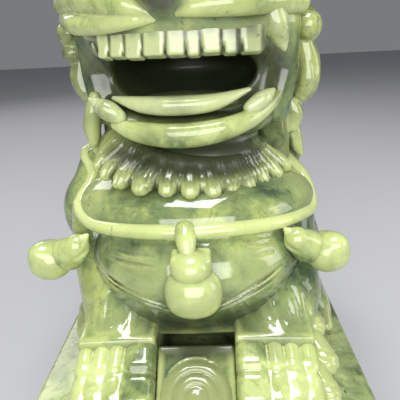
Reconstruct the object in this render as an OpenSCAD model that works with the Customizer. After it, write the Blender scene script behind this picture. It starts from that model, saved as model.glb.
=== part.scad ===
// Seated guardian lion (foo dog) carved in green stone, on a rectangular plinth.
// The lion faces -Y and its left side is +X. The origin is the centre of the plinth's underside.

/* [Plinth] */
// Width of the plinth
plinth_w = 102; // [85:1:125]
// Depth of the plinth, front to back
plinth_d = 136; // [113:1:165]
// Height of the plinth
plinth_h = 34; // [28:1:42]
// Height of the top and bottom mouldings
moulding_h = 8; // [6.5:0.5:10]
// How far the waist between the mouldings is cut in
waist_inset = 3; // [2.5:0.5:4]
// Chamfer on the moulding edges
edge_chamfer = 1.5; // [1:0.25:2]

/* [Body] */
// Half width across the shoulders
shoulder_r = 42; // [35:1:51]
// Height of the shoulders above the plinth
shoulder_z = 52; // [46:1:60]
// Half width of the chest bulge
chest_r = 33; // [27:1:40]
// Height of the chest bulge's middle above the plinth
chest_z = 34; // [29:0.5:41]
// Half width across the rump
rump_r = 34; // [28:1:41]

/* [Legs] */
// Distance from the middle to the centre of each foreleg
leg_x = 24; // [20:0.5:29]
// Radius of a foreleg
leg_r = 12.5; // [10.5:0.5:15]
// Length of a forepaw from wrist to toes
paw_l = 27; // [22.5:0.5:32.5]
// Height of a forepaw over the wrist
paw_h = 17; // [14:0.5:20.5]
// Number of toes on each paw
toe_count = 4; // [3:1:5]
// Width of one foretoe
toe_w = 6.2; // [5.1:0.1:7.5]
// Clearance between neighbouring toes
toe_gap = 0.3; // [0.2:0.1:0.6]

/* [Harness] */
// Width of the chest strap
strap_w = 6; // [5:0.5:8]
// Radius of the bell
bell_r = 7.6; // [6.2:0.2:9.2]
// Radius of the ball above the bell
crown_r = 5.4; // [4.4:0.2:6.6]
// Radius of a tassel's round end
tassel_r = 7; // [5.8:0.2:8.4]

/* [Head] */
// Half width of the head at the cheeks
cheek_r = 32; // [26:1:39]
// Angle by which the head is turned towards the lion's right
head_turn = 9; // [0:1:15]
// Height of the upper teeth's tips above the plinth
bite_z = 94.5; // [88:0.5:114]
// Height of the open mouth at its middle
mouth_gap = 9; // [7.5:0.5:11]
// Number of upper teeth between the fangs
tooth_count = 9; // [7:1:11]
// Length of an upper tooth
tooth_h = 7; // [5.5:0.5:8.5]
// Radius of a mane curl
curl_r = 6; // [5:0.5:7.5]

/* [Hidden] */
pale = "yellowgreen";
deep = "olivedrab";
fine = 22;                             // sides of the large rounded forms
coarse = 12;                           // sides of limbs and locks
small = 8;                             // sides of toes and claws
trim = 16;                             // sides of the bell, its crown and the tassels
tuft_sides = 10;
curl_sides = 8;
ring_sides = 32;
top = plinth_h;                        // the plinth's top face
head_z = top + bite_z;                 // tips of the upper teeth
chest = [0, -10, top + chest_z];
chest_size = [chest_r, 31, 20];
shoulder = [0, 5, top + shoulder_z];
shoulder_size = [shoulder_r, 29, 17];
rump = [0, 36, top + 27];
rump_size = [rump_r, 26, 28];
neck = [0, 12, (shoulder[2] + head_z) / 2 - 3];
neck_size = [31, 25, (head_z - shoulder[2]) / 2 - 4];
belly_size = [26, 20, 14];
bead_count = 6;                        // beads of the backbone
bead_r = 4.3;
tail_h = 46;
tail_y = rump[1] + rump_size[1] - 2;

paw_edge = 5;                          // stone left in front of the toes
paw_front = -plinth_d / 2 + paw_edge;
paw_back = paw_front + paw_l;
wrist_z = 8;
toe_pitch = toe_w + toe_gap;
toe_step = 1.6;                        // how far each toe stands back from its inner neighbour
claw_r = 1.7;
web_half = leg_x - leg_r;              // half of the gap between the forelegs
web_back = paw_back - 1;
web_h = 13.5;
web_l = 19;
web_foot = 1.5;                        // height of the slope's front edge
web_flat = 3;                          // level stretch behind the slope
boss_r = web_half - 0.4;
boss_h = 5.5;
boss_seat = 0.9 * boss_r;              // from the slope's foot up to the boss's middle
hind_x = leg_x + 14;                   // middle of a hind paw
hind_front = paw_back + 30;            // front of a hind paw
hind_r = 9;
hind_toe_r = 8.8 / toe_count;
hind_pitch = 18.4 / toe_count;

strap_t = 2.6;                         // half thickness of the strap
strap_z = shoulder[2] + 6;
strap_tilt = 14;                       // the strap hangs lower in front
strap_out = shoulder_r - 0.5;          // radius to the strap's middle
strap_squash = (shoulder_size[1] + 3.5) / (shoulder_r + 1);
strap_front = shoulder[1] - strap_out * strap_squash;
bell_z = chest[2] - 1;
crown_z = bell_z + bell_r + 0.55 * crown_r;
tassel = [leg_x + 18.5, shoulder[1] - 30, top + 38];
leaf_l = 15.5;                         // from a tassel's round end to the leaf's tip

head_axis = [0, 8, 0];                 // the head turns about a vertical line through this point
tongue_z = head_z - mouth_gap;
chin_drop = 16;                        // from the tongue's top to the chin's underside
jaw_z = tongue_z - chin_drop;
mouth_half = 20;                       // half width of the mouth inside
mouth_wide = 27;                       // half width of the mouth at the front
arch_r = 25;                           // radius of the row of teeth
arch_angle = 112;                      // spread of the row of teeth
tooth_w = 4.7;
tooth_t = 3;
gum = 1.6;                             // part of a tooth's length that is in the gum
fang_x = 26.5;
fang_r = 3.4;
lip_z = head_z + 11;                   // middle of the upper lip
nose_z = head_z + 20;
eye = [14.5, -19, head_z + 25];
eye_size = [6.4, 6, 5.8];
brow_z = head_z + 33;
ear_z = head_z + 24;
lock_x = 33;
ruff_count = 7;
ruff_step = 25;                        // degrees from tuft to tuft
mane_size = [36, 27, 35];              // the round that the curls lie on
mane_z = head_z + 9;

// Front of the chest bulge at a given height, on the middle line.
function chest_y(z) = chest[1] - chest_size[1] * sqrt(max(0, 1 - pow((z - chest[2]) / chest_size[2], 2)));

// A ball stretched to three radii.
module ball(at, size, sides = coarse) {
    translate(at) scale(size) sphere(r = 1, $fn = sides);
}

// A smooth limb from one ball to another.
module limb(from, from_size, to, to_size, sides = coarse) {
    hull() {
        ball(from, from_size, sides);
        ball(to, to_size, sides);
    }
}

// Keeps a carved form as one closed mesh.
module carved() {
    resize([0, 0, 0]) difference() {
        children(0);
        if ($children > 1) children([1:$children - 1]);
    }
}

// The lion's own left side as drawn, or mirrored to its right.
module on_side(left) {
    if (left) children();
    else mirror([1, 0, 0]) children();
}

// Turns what belongs to the head.
module turned() {
    translate(head_axis) rotate([0, 0, -head_turn]) translate(-head_axis) children();
}

// Everything at or below the plinth's top face.
module ground() {
    translate([-200, -200, -400 + top]) cube([400, 400, 400]);
}

// ---- Plinth ----

// Side view of a moulding with its edges taken off.
module slab_outline(w, h) {
    half = w / 2;
    c = edge_chamfer;
    polygon([[-half, c], [c - half, 0], [half - c, 0], [half, c],
        [half, h - c], [half - c, h], [c - half, h], [-half, h - c]]);
}

module slab(w, d, h) {
    intersection() {
        rotate([90, 0, 0]) linear_extrude(height = d, center = true) slab_outline(w, h);
        rotate([90, 0, 90]) linear_extrude(height = w, center = true) slab_outline(d, h);
    }
}

module plinth() {
    color(deep) {
        slab(plinth_w, plinth_d, moulding_h);
        translate([0, 0, plinth_h - moulding_h]) slab(plinth_w, plinth_d, moulding_h);
        translate([0, 0, plinth_h / 2])
            cube([plinth_w - 2 * waist_inset, plinth_d - 2 * waist_inset,
                plinth_h - moulding_h], center = true);
    }
}

// ---- Torso and back ----

module torso_form() {
    ball(chest, chest_size, fine);
    limb(shoulder, shoulder_size, rump, rump_size, fine);
    ball(neck, neck_size, fine);
    limb([0, -2, top + 26], belly_size, [0, rump[1] - 2, top + 12], [rump_r - 4, 26, 12]);
}

module torso() {
    color(deep) carved() {
        torso_form();
        ground();
    }
}

// Beads of the backbone, down the round of the rump from the mane to the tail.
module spine_ridge() {
    color(pale) carved() {
        for (i = [0:bead_count - 1]) {
            a = 108 - 68 * i / (bead_count - 1);
            ball([0, rump[1] + rump_size[1] * cos(a), rump[2] + rump_size[2] * sin(a)],
                [bead_r, bead_r, bead_r]);
        }
        union() {
            torso_form();
            tail_form();
        }
    }
}

module tail_form() {
    limb([0, tail_y - 2, top + 10], [9, 6, 10], [0, tail_y, top + 30], [11, 6, 10]);
    for (s = [-1, 1]) {
        limb([s * 8, tail_y, top + 14], [7, 5, 8], [s * 12, tail_y, top + 30], [5, 4, 7]);
        limb([s * 7, tail_y, top + tail_h - 14], [7, 4.5, 7], [s * 4, tail_y - 2, top + tail_h], [3, 3, 5]);
    }
}

module tail() {
    color(pale) carved() {
        tail_form();
        union() {
            torso_form();
            ground();
        }
    }
}

// ---- Hind legs ----

module haunch_form() {
    limb([hind_x - 5, rump[1] - 2, top + 24], [13, 22, 20],
        [hind_x - 2, rump[1] - 16, top + 15], [12, 18, 15]);
}

module haunch(left) {
    color(deep) on_side(left) carved() {
        haunch_form();
        union() {
            torso_form();
            ground();
        }
    }
}

module hind_paw_form() {
    limb([hind_x, rump[1] - 28, top + 6], [hind_r + 0.5, 14, hind_r],
        [hind_x + 1, hind_front, top + 4], [hind_r, 10, hind_r - 1]);
}

module hind_paw(left) {
    color(deep) on_side(left) carved() {
        hind_paw_form();
        union() {
            torso_form();
            haunch_form();
            foreleg_form();
            ground();
        }
    }
}

module hind_toe_form(i) {
    x = hind_x + (i - (toe_count - 1) / 2) * hind_pitch;
    limb([x, hind_front - 5, top + 6.5], [hind_toe_r, 5, 4.2],
        [x, hind_front - 11, top + 3], [hind_toe_r - 0.1, 3.4, 3.6], small);
}

module hind_toes(left) {
    color(pale) on_side(left) carved() {
        for (i = [0:toe_count - 1]) hind_toe_form(i);
        union() {
            hind_paw_form();
            torso_form();
            foreleg_form();
            ground();
        }
    }
}

// ---- Forelegs ----

function toe_x(i) = leg_x + (i - (toe_count - 1) / 2) * toe_pitch;

module foreleg_form() {
    limb([leg_x + 8, shoulder[1] - 11, top + 44], [12, 15, 14],
        [leg_x + 2, paw_back + 16, top + 18], [leg_r, 15, 14]);
    limb([leg_x, paw_back + 10, top + 12], [leg_r, 14, 11],
        [leg_x, paw_back - 2, top + wrist_z], [leg_r, 7, paw_h - wrist_z]);
}

module foreleg(left) {
    color(pale) on_side(left) carved() {
        foreleg_form();
        union() {
            torso_form();
            ground();
        }
    }
}

// How far a toe's tip stands back from the longest toes' tips.
function toe_tip(i) = paw_front + toe_step * abs(i - (toe_count - 1) / 2);

module foretoe_form(i) {
    r = toe_w / 2;
    tip = toe_tip(i);
    limb([toe_x(i), paw_back - 4, top + paw_h - 6], [r, 5, 5.5], [toe_x(i), tip + 12, top + 9],
        [r, 5, 5.5], small);
    limb([toe_x(i), tip + 10, top + 7], [r, 6, 5.5], [toe_x(i), tip + 5, top + 4], [r, 4.6, 4.6], small);
}

module foretoes(left) {
    color(pale) on_side(left) carved() {
        for (i = [0:toe_count - 1]) foretoe_form(i);
        union() {
            foreleg_form();
            torso_form();
            ground();
        }
    }
}

module foreclaws(left) {
    color(pale) on_side(left) carved() {
        for (i = [0:toe_count - 1])
            limb([toe_x(i), toe_tip(i) + 3, top + 2.6], [claw_r, 3, 2.4],
                [toe_x(i), toe_tip(i) - 0.6, top + 1.2], [claw_r / 2, 1, 1.1], small);
        union() {
            for (i = [0:toe_count - 1]) foretoe_form(i);
            ground();
        }
    }
}

// Locks of hair down the outside of a foreleg, each as [outwards, back from the wrist, height, radius].
tufts = [[0.5, 24, 15, 5.4], [2.5, 14, 9.5, 5.2], [3, 4, 5.2, 4.8]];

module leg_tufts(left) {
    color(pale) on_side(left) carved() {
        for (tuft = tufts)
            ball([leg_x + leg_r + tuft[0], paw_back + tuft[1], top + tuft[2]],
                [tuft[3], tuft[3] + 1, tuft[3]]);
        union() {
            foreleg_form();
            haunch_form();
            hind_paw_form();
            for (i = [0:toe_count - 1]) {
                hind_toe_form(i);
                foretoe_form(i);
            }
            torso_form();
            ground();
        }
    }
}

// ---- Between the forepaws ----

web_outline = [[web_back, 0], [web_back, web_h], [web_back - web_flat, web_h],
    [web_back - web_l, web_foot], [web_back - web_l, 0]];
web_slope = atan((web_h - web_foot) / (web_l - web_flat));

module paw_web_form() {
    translate([-web_half, 0, top]) rotate([90, 0, 90])
        linear_extrude(height = 2 * web_half) polygon(web_outline);
}

module paw_web() {
    color(deep) carved() {
        paw_web_form();
        for (left = [true, false]) on_side(left) {
            foreleg_form();
            for (i = [0:toe_count - 1]) foretoe_form(i);
        }
    }
}

// Round boss low on the slope of the web, cut with rings.
module ringed_boss() {
    color(pale) carved() {
        translate([0, web_back - web_l, top + web_foot]) rotate([web_slope, 0, 0])
            ball([0, boss_seat, 0], [boss_r, boss_r, boss_h], fine);
        union() {
            paw_web_form();
            for (left = [true, false]) on_side(left) {
                foreleg_form();
                for (i = [0:toe_count - 1]) foretoe_form(i);
            }
            ground();
        }
    }
}

// ---- Harness ----

module strap_form() {
    translate([0, shoulder[1], strap_z]) rotate([strap_tilt, 0, 0]) scale([1, strap_squash, 1])
        rotate_extrude($fn = ring_sides) translate([strap_out, 0])
            scale([strap_t, strap_w / 2]) circle(r = 1, $fn = small);
}

module chest_strap() {
    color(pale) carved() {
        strap_form();
        union() {
            torso_form();
            for (left = [true, false]) on_side(left) foreleg_form();
        }
    }
}

module hanger_form() {
    limb([0, strap_front - 1, strap_z - 8.5], [3.6, 2.8, 3.5],
        [0, chest_y(crown_z) - 2.5, crown_z + 0.6 * crown_r], [1.9, 2.4, 3]);
}

module bell_hanger() {
    color(pale) carved() {
        hanger_form();
        union() {
            torso_form();
            strap_form();
        }
    }
}

module crown_form() {
    ball([0, chest_y(crown_z) - 1, crown_z], [crown_r, crown_r, crown_r * 0.94], trim);
}

module bell_crown() {
    color(pale) carved() {
        crown_form();
        union() {
            torso_form();
            hanger_form();
            bell_form();
        }
    }
}

module bell_form() {
    ball([0, chest_y(bell_z) + 2, bell_z], [bell_r, bell_r, bell_r * 1.02], trim);
}

module bell() {
    color(pale) carved() {
        bell_form();
        torso_form();
    }
}

module tassel_end_form() {
    ball(tassel, [tassel_r, tassel_r, tassel_r * 0.95], trim);
}

module tassel_end(left) {
    color(pale) on_side(left) carved() {
        tassel_end_form();
        union() {
            torso_form();
            foreleg_form();
        }
    }
}

module tassel_cap(left) {
    color(pale) on_side(left) carved() {
        hull() {
            ball(tassel - [4.5, 0, -0.5], [tassel_r - 1, tassel_r - 0.5, tassel_r - 0.5]);
            ball(tassel - [leaf_l, 0, -6], [2, 2.5, 3]);
        }
        union() {
            tassel_end_form();
            torso_form();
            foreleg_form();
            strap_form();
        }
    }
}

// ---- Head ----

module skull_form() {
    turned() {
        hull() {
            ball([0, 4, head_z + 16], [cheek_r, 24, 20], fine);
            ball([0, 12, head_z - 8], [cheek_r - 5, 19, 14], fine);
        }
        limb([0, -8, head_z + 15], [cheek_r - 8, 18, 10], [0, 4, head_z + 30], [20, 18, 13]);
    }
}

// The hollow of the open mouth, back to the throat.
module mouth_space() {
    turned() hull() {
        translate([-mouth_wide, -60, jaw_z - 3]) cube([2 * mouth_wide, 40, head_z - jaw_z + 3]);
        translate([-mouth_half, -60, jaw_z - 3]) cube([2 * mouth_half, 54, head_z - jaw_z + 3]);
    }
}

module skull() {
    color(deep) carved() {
        skull_form();
        union() {
            mouth_space();
            teeth_form();
            torso_form();
        }
    }
}

module jaw_form() {
    turned() {
        limb([0, -11, jaw_z + 7], [22, 8, 6.5], [0, 6, jaw_z + 6], [25, 14, 10], trim);
        for (s = [-1, 1])
            limb([s * 22, -11, jaw_z + 9], [4.5, 6, 6], [s * 26, 4, jaw_z + 16], [4.5, 8, 8]);
    }
}

module lower_jaw() {
    color(deep) carved() {
        jaw_form();
        union() {
            torso_form();
            difference() {
                skull_form();
                mouth_space();
            }
            tongue_form();
        }
    }
}

module lip_form() {
    turned() for (s = [-1, 1]) {
        hull() {
            ball([0, -20, jaw_z + 6.5], [5, 4.2, 4]);
            ball([s * 13, -18, jaw_z + 8.5], [4, 4, 3.8]);
        }
        hull() {
            ball([s * 13, -18, jaw_z + 8.5], [4, 4, 3.8]);
            ball([s * 21, -14, jaw_z + 13.5], [2.8, 3.2, 2.8]);
        }
    }
}

module lower_lip() {
    color(pale) carved() {
        lip_form();
        union() {
            jaw_form();
            tongue_form();
        }
    }
}

module tongue_form() {
    turned() hull() {
        ball([0, -13, tongue_z - 3.4], [12, 6, 3.4]);
        for (s = [-1, 1]) ball([s * 16, -10, tongue_z - 1.2], [1.4, 3.5, 1.2]);
        ball([0, 0, tongue_z - 4], [15, 6, 3.6]);
    }
}

module tongue() {
    color(pale) carved() {
        tongue_form();
        union() {
            torso_form();
            difference() {
                skull_form();
                mouth_space();
            }
        }
    }
}

module teeth_form() {
    turned() for (i = [0:tooth_count - 1]) {
        a = (i - (tooth_count - 1) / 2) * arch_angle / tooth_count;
        translate([arch_r * sin(a), 5 - arch_r * cos(a), head_z]) rotate([0, 0, a])
            translate([-tooth_w / 2, -tooth_t / 2, 0]) cube([tooth_w, tooth_t, tooth_h - gum]);
    }
}

module upper_teeth() {
    color(pale) teeth_form();
}

module upper_lip_form() {
    turned() {
        hull() {
            ball([3.5, -27, lip_z], [3.6, 5, 3.4]);
            ball([14, -23.5, lip_z], [6, 6, 5.6]);
        }
        hull() {
            ball([14, -23.5, lip_z], [6, 6, 5.6]);
            ball([cheek_r - 4.5, -8, lip_z + 0.5], [4.5, 7, 5.8]);
        }
    }
}

module upper_lip(left) {
    color(pale) carved() {
        if (left) upper_lip_form();
        else other_side() upper_lip_form();
        union() {
            skull_form();
            nose_form();
            fang_form();
        }
    }
}

// Mirrors a form that already belongs to the turned head.
module other_side() {
    turned() mirror([1, 0, 0]) translate(head_axis) rotate([0, 0, head_turn])
        translate(-head_axis) children();
}

module fang_form() {
    turned() for (s = [-1, 1])
        limb([s * fang_x, -10, head_z + 6.5], [fang_r, 3.6, 3],
            [s * (fang_x - 1), -12, head_z - 1], [1.4, 1.6, 1.8]);
}

module upper_fangs() {
    color(pale) carved() {
        fang_form();
        difference() {
            skull_form();
            mouth_space();
        }
    }
}

module lower_fangs() {
    color(pale) carved() {
        turned() for (s = [-1, 1])
            limb([s * 18.5, -16.5, tongue_z - 4.6], [3, 3, 2.4],
                [s * 25, -15.5, tongue_z + 0.6], [0.8, 0.9, 0.9]);
        union() {
            jaw_form();
            lip_form();
            tongue_form();
            difference() {
                skull_form();
                mouth_space();
            }
        }
    }
}

module nose_form() {
    turned() {
        ball([0, -28, nose_z], [8, 7, 6]);
        for (s = [-1, 1]) ball([s * 7.5, -26, nose_z - 1], [5, 5.5, 4.6]);
        limb([0, -24, nose_z + 3], [6, 5, 5], [0, -16, nose_z + 12], [5, 6, 4]);
    }
}

module nose() {
    color(pale) carved() {
        nose_form();
        skull_form();
    }
}

module eye_form() {
    turned() ball(eye, eye_size);
}

module eye(left) {
    color(pale) carved() {
        if (left) eye_form();
        else other_side() eye_form();
        union() {
            skull_form();
            nose_form();
        }
    }
}

module eyebrow_form() {
    turned() {
        hull() {
            ball([6, -19, brow_z - 2], [3.6, 4.6, 3.4]);
            ball([17, -17.5, brow_z + 1], [5, 5, 4]);
        }
        hull() {
            ball([17, -17.5, brow_z + 1], [5, 5, 4]);
            ball([28, -7, brow_z], [3.4, 5, 4]);
        }
    }
}

module eyebrow(left) {
    color(pale) carved() {
        if (left) eyebrow_form();
        else other_side() eyebrow_form();
        union() {
            skull_form();
            nose_form();
            eye_form();
            other_side() eye_form();
        }
    }
}

module ear_form() {
    turned() hull() {
        ball([31, 6, ear_z], [4.5, 7, 6]);
        ball([37, 13, ear_z + 3], [2.4, 4, 8]);
        ball([36, 18, ear_z - 8], [2.4, 3, 4]);
    }
}

module ear(left) {
    color(pale) carved() {
        if (left) ear_form();
        else other_side() ear_form();
        skull_form();
    }
}

// Long locks that fall behind the cheeks on to the shoulders.
module mane_lock_form() {
    turned() {
        limb([lock_x, 2, head_z + 8], [5, 6, 9], [lock_x - 1, 3, head_z - 10], [4.4, 6, 9]);
        limb([lock_x - 1, 3, head_z - 12], [4.4, 6, 6], [lock_x - 2, 0, shoulder[2] + 14.5], [3.8, 5, 6]);
    }
}

module mane_lock(left) {
    color(pale) carved() {
        if (left) mane_lock_form();
        else other_side() mane_lock_form();
        union() {
            skull_form();
            jaw_form();
            torso_form();
            ear_form();
            other_side() ear_form();
        }
    }
}

// Place of a curl on the round of the mane: around is degrees from the front, up is degrees of rise.
function curl_at(around, up) = [
    mane_size[0] * sin(around) * cos(up),
    10 - mane_size[1] * cos(around) * cos(up),
    mane_z + mane_size[2] * sin(up)];

module curls(places) {
    turned() for (place = places)
        ball(curl_at(place[0], place[1]), [curl_r, curl_r, curl_r], curl_sides);
}

side_curls = [for (row = [0:3]) for (i = [0:1]) [102 + 24 * i + 6 * (row % 2), -38 + 25 * row]];
back_curls = [for (row = [0:4]) for (i = [0:2 - row % 2])
    [180 + 23 * (i - (2 - row % 2) / 2) * (1 + row / 8), -38 + 23 * row]];
crown_places = [for (around = [-60, -20, 20, 60]) [around, 62], for (around = [-75, 75]) [around, 45]];

module mane_solids(places) {
    color(deep) carved() {
        curls(places);
        union() {
            skull_form();
            jaw_form();
            torso_form();
            for (left = [true, false]) {
                if (left) {
                    ear_form();
                    mane_lock_form();
                    eyebrow_form();
                } else other_side() {
                    ear_form();
                    mane_lock_form();
                    eyebrow_form();
                }
            }
        }
    }
}

module side_mane(left) {
    mane_solids([for (c = side_curls) [left ? c[0] : -c[0], c[1]]]);
}

// Striped ruff of beard hair round the throat, lying on the chest.
module beard_ruff() {
    color(pale) carved() {
        turned() for (i = [0:ruff_count - 1]) {
            a = (i - (ruff_count - 1) / 2) * ruff_step;
            tip_z = shoulder[2] + 7.5 + 7 * pow(sin(a), 2);
            limb([25 * sin(a), 2 - 17 * cos(a), jaw_z - 3], [7, 7, 5],
                [31 * sin(a), 4 - 25 * cos(a), tip_z], [6, 5, 4], tuft_sides);
        }
        union() {
            torso_form();
            jaw_form();
            strap_form();
            skull_form();
            for (left = [true, false]) {
                if (left) mane_lock_form();
                else other_side() mane_lock_form();
            }
        }
    }
}

plinth();
paw_web();
ringed_boss();
torso();
spine_ridge();
tail();
haunch(true);  // left_haunch
haunch(false);  // right_haunch
hind_paw(true);  // left_hind_paw
hind_paw(false);  // right_hind_paw
hind_toes(true);  // left_hind_toes
hind_toes(false);  // right_hind_toes
foreleg(true);  // left_foreleg
foreleg(false);  // right_foreleg
foretoes(true);  // left_foretoes
foretoes(false);  // right_foretoes
foreclaws(true);  // left_foreclaws
foreclaws(false);  // right_foreclaws
leg_tufts(true);  // left_leg_tufts
leg_tufts(false);  // right_leg_tufts
chest_strap();
bell_hanger();
bell_crown();
bell();
tassel_cap(true);  // left_tassel_cap
tassel_cap(false);  // right_tassel_cap
tassel_end(true);  // left_tassel_end
tassel_end(false);  // right_tassel_end
beard_ruff();
skull();
lower_jaw();
lower_lip();
tongue();
upper_teeth();
upper_fangs();
lower_fangs();
upper_lip(true);  // left_upper_lip
upper_lip(false);  // right_upper_lip
nose();
eye(true);  // left_eye
eye(false);  // right_eye
eyebrow(true);  // left_eyebrow
eyebrow(false);  // right_eyebrow
ear(true);  // left_ear
ear(false);  // right_ear
mane_lock(true);  // left_mane_lock
mane_lock(false);  // right_mane_lock
side_mane(true);  // left_mane_curls
side_mane(false);  // right_mane_curls
mane_solids(back_curls);  // back_mane_curls
mane_solids(crown_places);  // crown_curls
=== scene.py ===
"""A seated guardian lion carved in polished green stone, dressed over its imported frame.

Every carved piece is shaped as a block of signed distances, in millimetres, then skinned with a
surface net. Heights are counted from the plinth's top face for the body, and from the tips of the
upper teeth for the head, so both follow the frame.
"""
import logging
import math
from collections.abc import Callable, Iterable, Sequence
from dataclasses import dataclass, field
from enum import Enum

import bpy
import numpy as np
from mathutils import Matrix, Vector


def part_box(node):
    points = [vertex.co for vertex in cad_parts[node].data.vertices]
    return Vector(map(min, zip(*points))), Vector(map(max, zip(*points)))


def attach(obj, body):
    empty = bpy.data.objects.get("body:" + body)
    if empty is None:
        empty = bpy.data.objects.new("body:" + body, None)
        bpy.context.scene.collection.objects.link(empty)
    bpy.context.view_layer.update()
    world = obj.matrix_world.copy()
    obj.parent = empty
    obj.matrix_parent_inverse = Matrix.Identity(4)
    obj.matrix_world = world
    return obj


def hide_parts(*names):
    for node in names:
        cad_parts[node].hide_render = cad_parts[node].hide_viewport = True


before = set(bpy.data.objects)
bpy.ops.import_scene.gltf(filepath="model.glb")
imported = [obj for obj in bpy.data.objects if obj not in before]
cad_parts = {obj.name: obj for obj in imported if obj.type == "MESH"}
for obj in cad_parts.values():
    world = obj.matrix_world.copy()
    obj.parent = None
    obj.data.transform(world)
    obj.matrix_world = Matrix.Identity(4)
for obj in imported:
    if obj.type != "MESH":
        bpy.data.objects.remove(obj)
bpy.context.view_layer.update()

Vec = tuple[float, float, float]
Colour = tuple[float, float, float]
Span = tuple[slice, slice, slice]
Pattern = Callable[[np.ndarray, np.ndarray, np.ndarray], np.ndarray]

MM = 0.001
FAR = 9.0
FINE = 0.55
BROAD = 0.75
LOG = logging.getLogger("guardian_lion")


class Side(Enum):
    """The lion's own sides; the value is the sign of X."""

    LEFT = 1
    RIGHT = -1

    @property
    def word(self) -> str:
        """The side's name in lower case, as the nodes spell it."""
        return self.name.lower()


class Rock(Enum):
    """The record's material slots."""

    PLINTH = "plinth_stone"
    BODY = "body_stone"
    MANE = "mane_stone"
    RAISED = "raised_stone"
    MOUTH = "mouth_stone"


# ---------------------------------------------------------------- forms


def spin(turn: Vec) -> np.ndarray:
    """Rotation matrix for turns in degrees about X, then Y, then Z.

    Args:
        turn: The three turns.

    Returns:
        A 3 x 3 matrix that takes a form's own axes to the block's.
    """
    a, b, c = (math.radians(t) for t in turn)
    about_x = np.array([[1, 0, 0], [0, math.cos(a), -math.sin(a)], [0, math.sin(a), math.cos(a)]])
    about_y = np.array([[math.cos(b), 0, math.sin(b)], [0, 1, 0], [-math.sin(b), 0, math.cos(b)]])
    about_z = np.array([[math.cos(c), -math.sin(c), 0], [math.sin(c), math.cos(c), 0], [0, 0, 1]])
    return about_z @ about_y @ about_x


def own_axes(at: Vec, turn: Vec, x: np.ndarray, y: np.ndarray, z: np.ndarray) -> list[np.ndarray]:
    """Coordinates counted from a form's centre along its own axes.

    Args:
        at: The form's centre.
        turn: The form's turn in degrees.
        x: X of each place.
        y: Y of each place.
        z: Z of each place.

    Returns:
        The three coordinates along the form's axes.
    """
    dx, dy, dz = x - at[0], y - at[1], z - at[2]
    if turn == (0, 0, 0):
        return [dx, dy, dz]
    m = spin(turn).astype(np.float32)
    return [m[0, i] * dx + m[1, i] * dy + m[2, i] * dz for i in range(3)]


@dataclass(frozen=True)
class Ball:
    """A ball with three radii, which may be turned."""

    at: Vec
    radii: Vec
    turn: Vec = (0, 0, 0)

    def box(self) -> tuple[np.ndarray, np.ndarray]:
        """Lowest and highest corners.

        Returns:
            The lowest corner and the highest corner.
        """
        if self.turn == (0, 0, 0):
            reach = np.array(self.radii, float)
        else:
            reach = np.sqrt((spin(self.turn) ** 2) @ (np.array(self.radii, float) ** 2))
        return np.array(self.at) - reach, np.array(self.at) + reach

    def distance(self, x: np.ndarray, y: np.ndarray, z: np.ndarray) -> np.ndarray:
        """Signed distance, below 0 inside.

        Args:
            x: X of each place.
            y: Y of each place.
            z: Z of each place.

        Returns:
            The distances, in millimetres.
        """
        p = own_axes(self.at, self.turn, x, y, z)
        near = sum((c / r) ** 2 for c, r in zip(p, self.radii))
        slope = sum((c / r ** 2) ** 2 for c, r in zip(p, self.radii))
        near = np.sqrt(near)
        return near * (near - 1) / np.sqrt(slope + 1e-9)


@dataclass(frozen=True)
class Block:
    """A box with rounded edges, given by its half sizes."""

    at: Vec
    half: Vec
    round: float = 0.5
    turn: Vec = (0, 0, 0)

    def box(self) -> tuple[np.ndarray, np.ndarray]:
        """Lowest and highest corners.

        Returns:
            The lowest corner and the highest corner.
        """
        reach = np.abs(spin(self.turn)) @ np.array(self.half, float)
        return np.array(self.at) - reach, np.array(self.at) + reach

    def distance(self, x: np.ndarray, y: np.ndarray, z: np.ndarray) -> np.ndarray:
        """Signed distance, below 0 inside.

        Args:
            x: X of each place.
            y: Y of each place.
            z: Z of each place.

        Returns:
            The distances, in millimetres.
        """
        p = own_axes(self.at, self.turn, x, y, z)
        q = [np.abs(c) - (h - self.round) for c, h in zip(p, self.half)]
        outside = np.sqrt(sum(np.maximum(c, 0) ** 2 for c in q))
        inside = np.minimum(np.maximum(np.maximum(q[0], q[1]), q[2]), 0)
        return outside + inside - self.round


@dataclass(frozen=True)
class Rope:
    """A limb through points with a radius at each; flat squeezes it along X, Y or Z."""

    points: Sequence[Vec]
    radii: Sequence[float]
    flat: Vec = (1, 1, 1)

    def box(self) -> tuple[np.ndarray, np.ndarray]:
        """Lowest and highest corners.

        Returns:
            The lowest corner and the highest corner.
        """
        points, reach = np.array(self.points, float), np.array(self.radii, float)[:, None]
        reach = reach * np.array(self.flat, float)
        return (points - reach).min(0), (points + reach).max(0)

    def distance(self, x: np.ndarray, y: np.ndarray, z: np.ndarray) -> np.ndarray:
        """Signed distance, below 0 inside.

        Args:
            x: X of each place.
            y: Y of each place.
            z: Z of each place.

        Returns:
            The distances, in millimetres.
        """
        best = None
        f = self.flat
        for a, b, ra, rb in zip(self.points, self.points[1:], self.radii, self.radii[1:]):
            ax, ay, az = a[0] / f[0], a[1] / f[1], a[2] / f[2]
            bx, by, bz = b[0] / f[0] - ax, b[1] / f[1] - ay, b[2] / f[2] - az
            px, py, pz = x / f[0] - ax, y / f[1] - ay, z / f[2] - az
            along = np.clip((px * bx + py * by + pz * bz) / (bx * bx + by * by + bz * bz + 1e-9), 0, 1)
            gap = np.sqrt((px - along * bx) ** 2 + (py - along * by) ** 2 + (pz - along * bz) ** 2)
            gap = gap - (ra + (rb - ra) * along)
            best = gap if best is None else np.minimum(best, gap)
        return best * min(f)


Form = Ball | Block | Rope


@dataclass(frozen=True)
class Wash:
    """A place painted darker (below 0) or paler (above 0): painted shade and painted light, and in places the
    stone's own tone.
    """

    form: Form
    amount: float
    fade: float = 8.0


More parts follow.
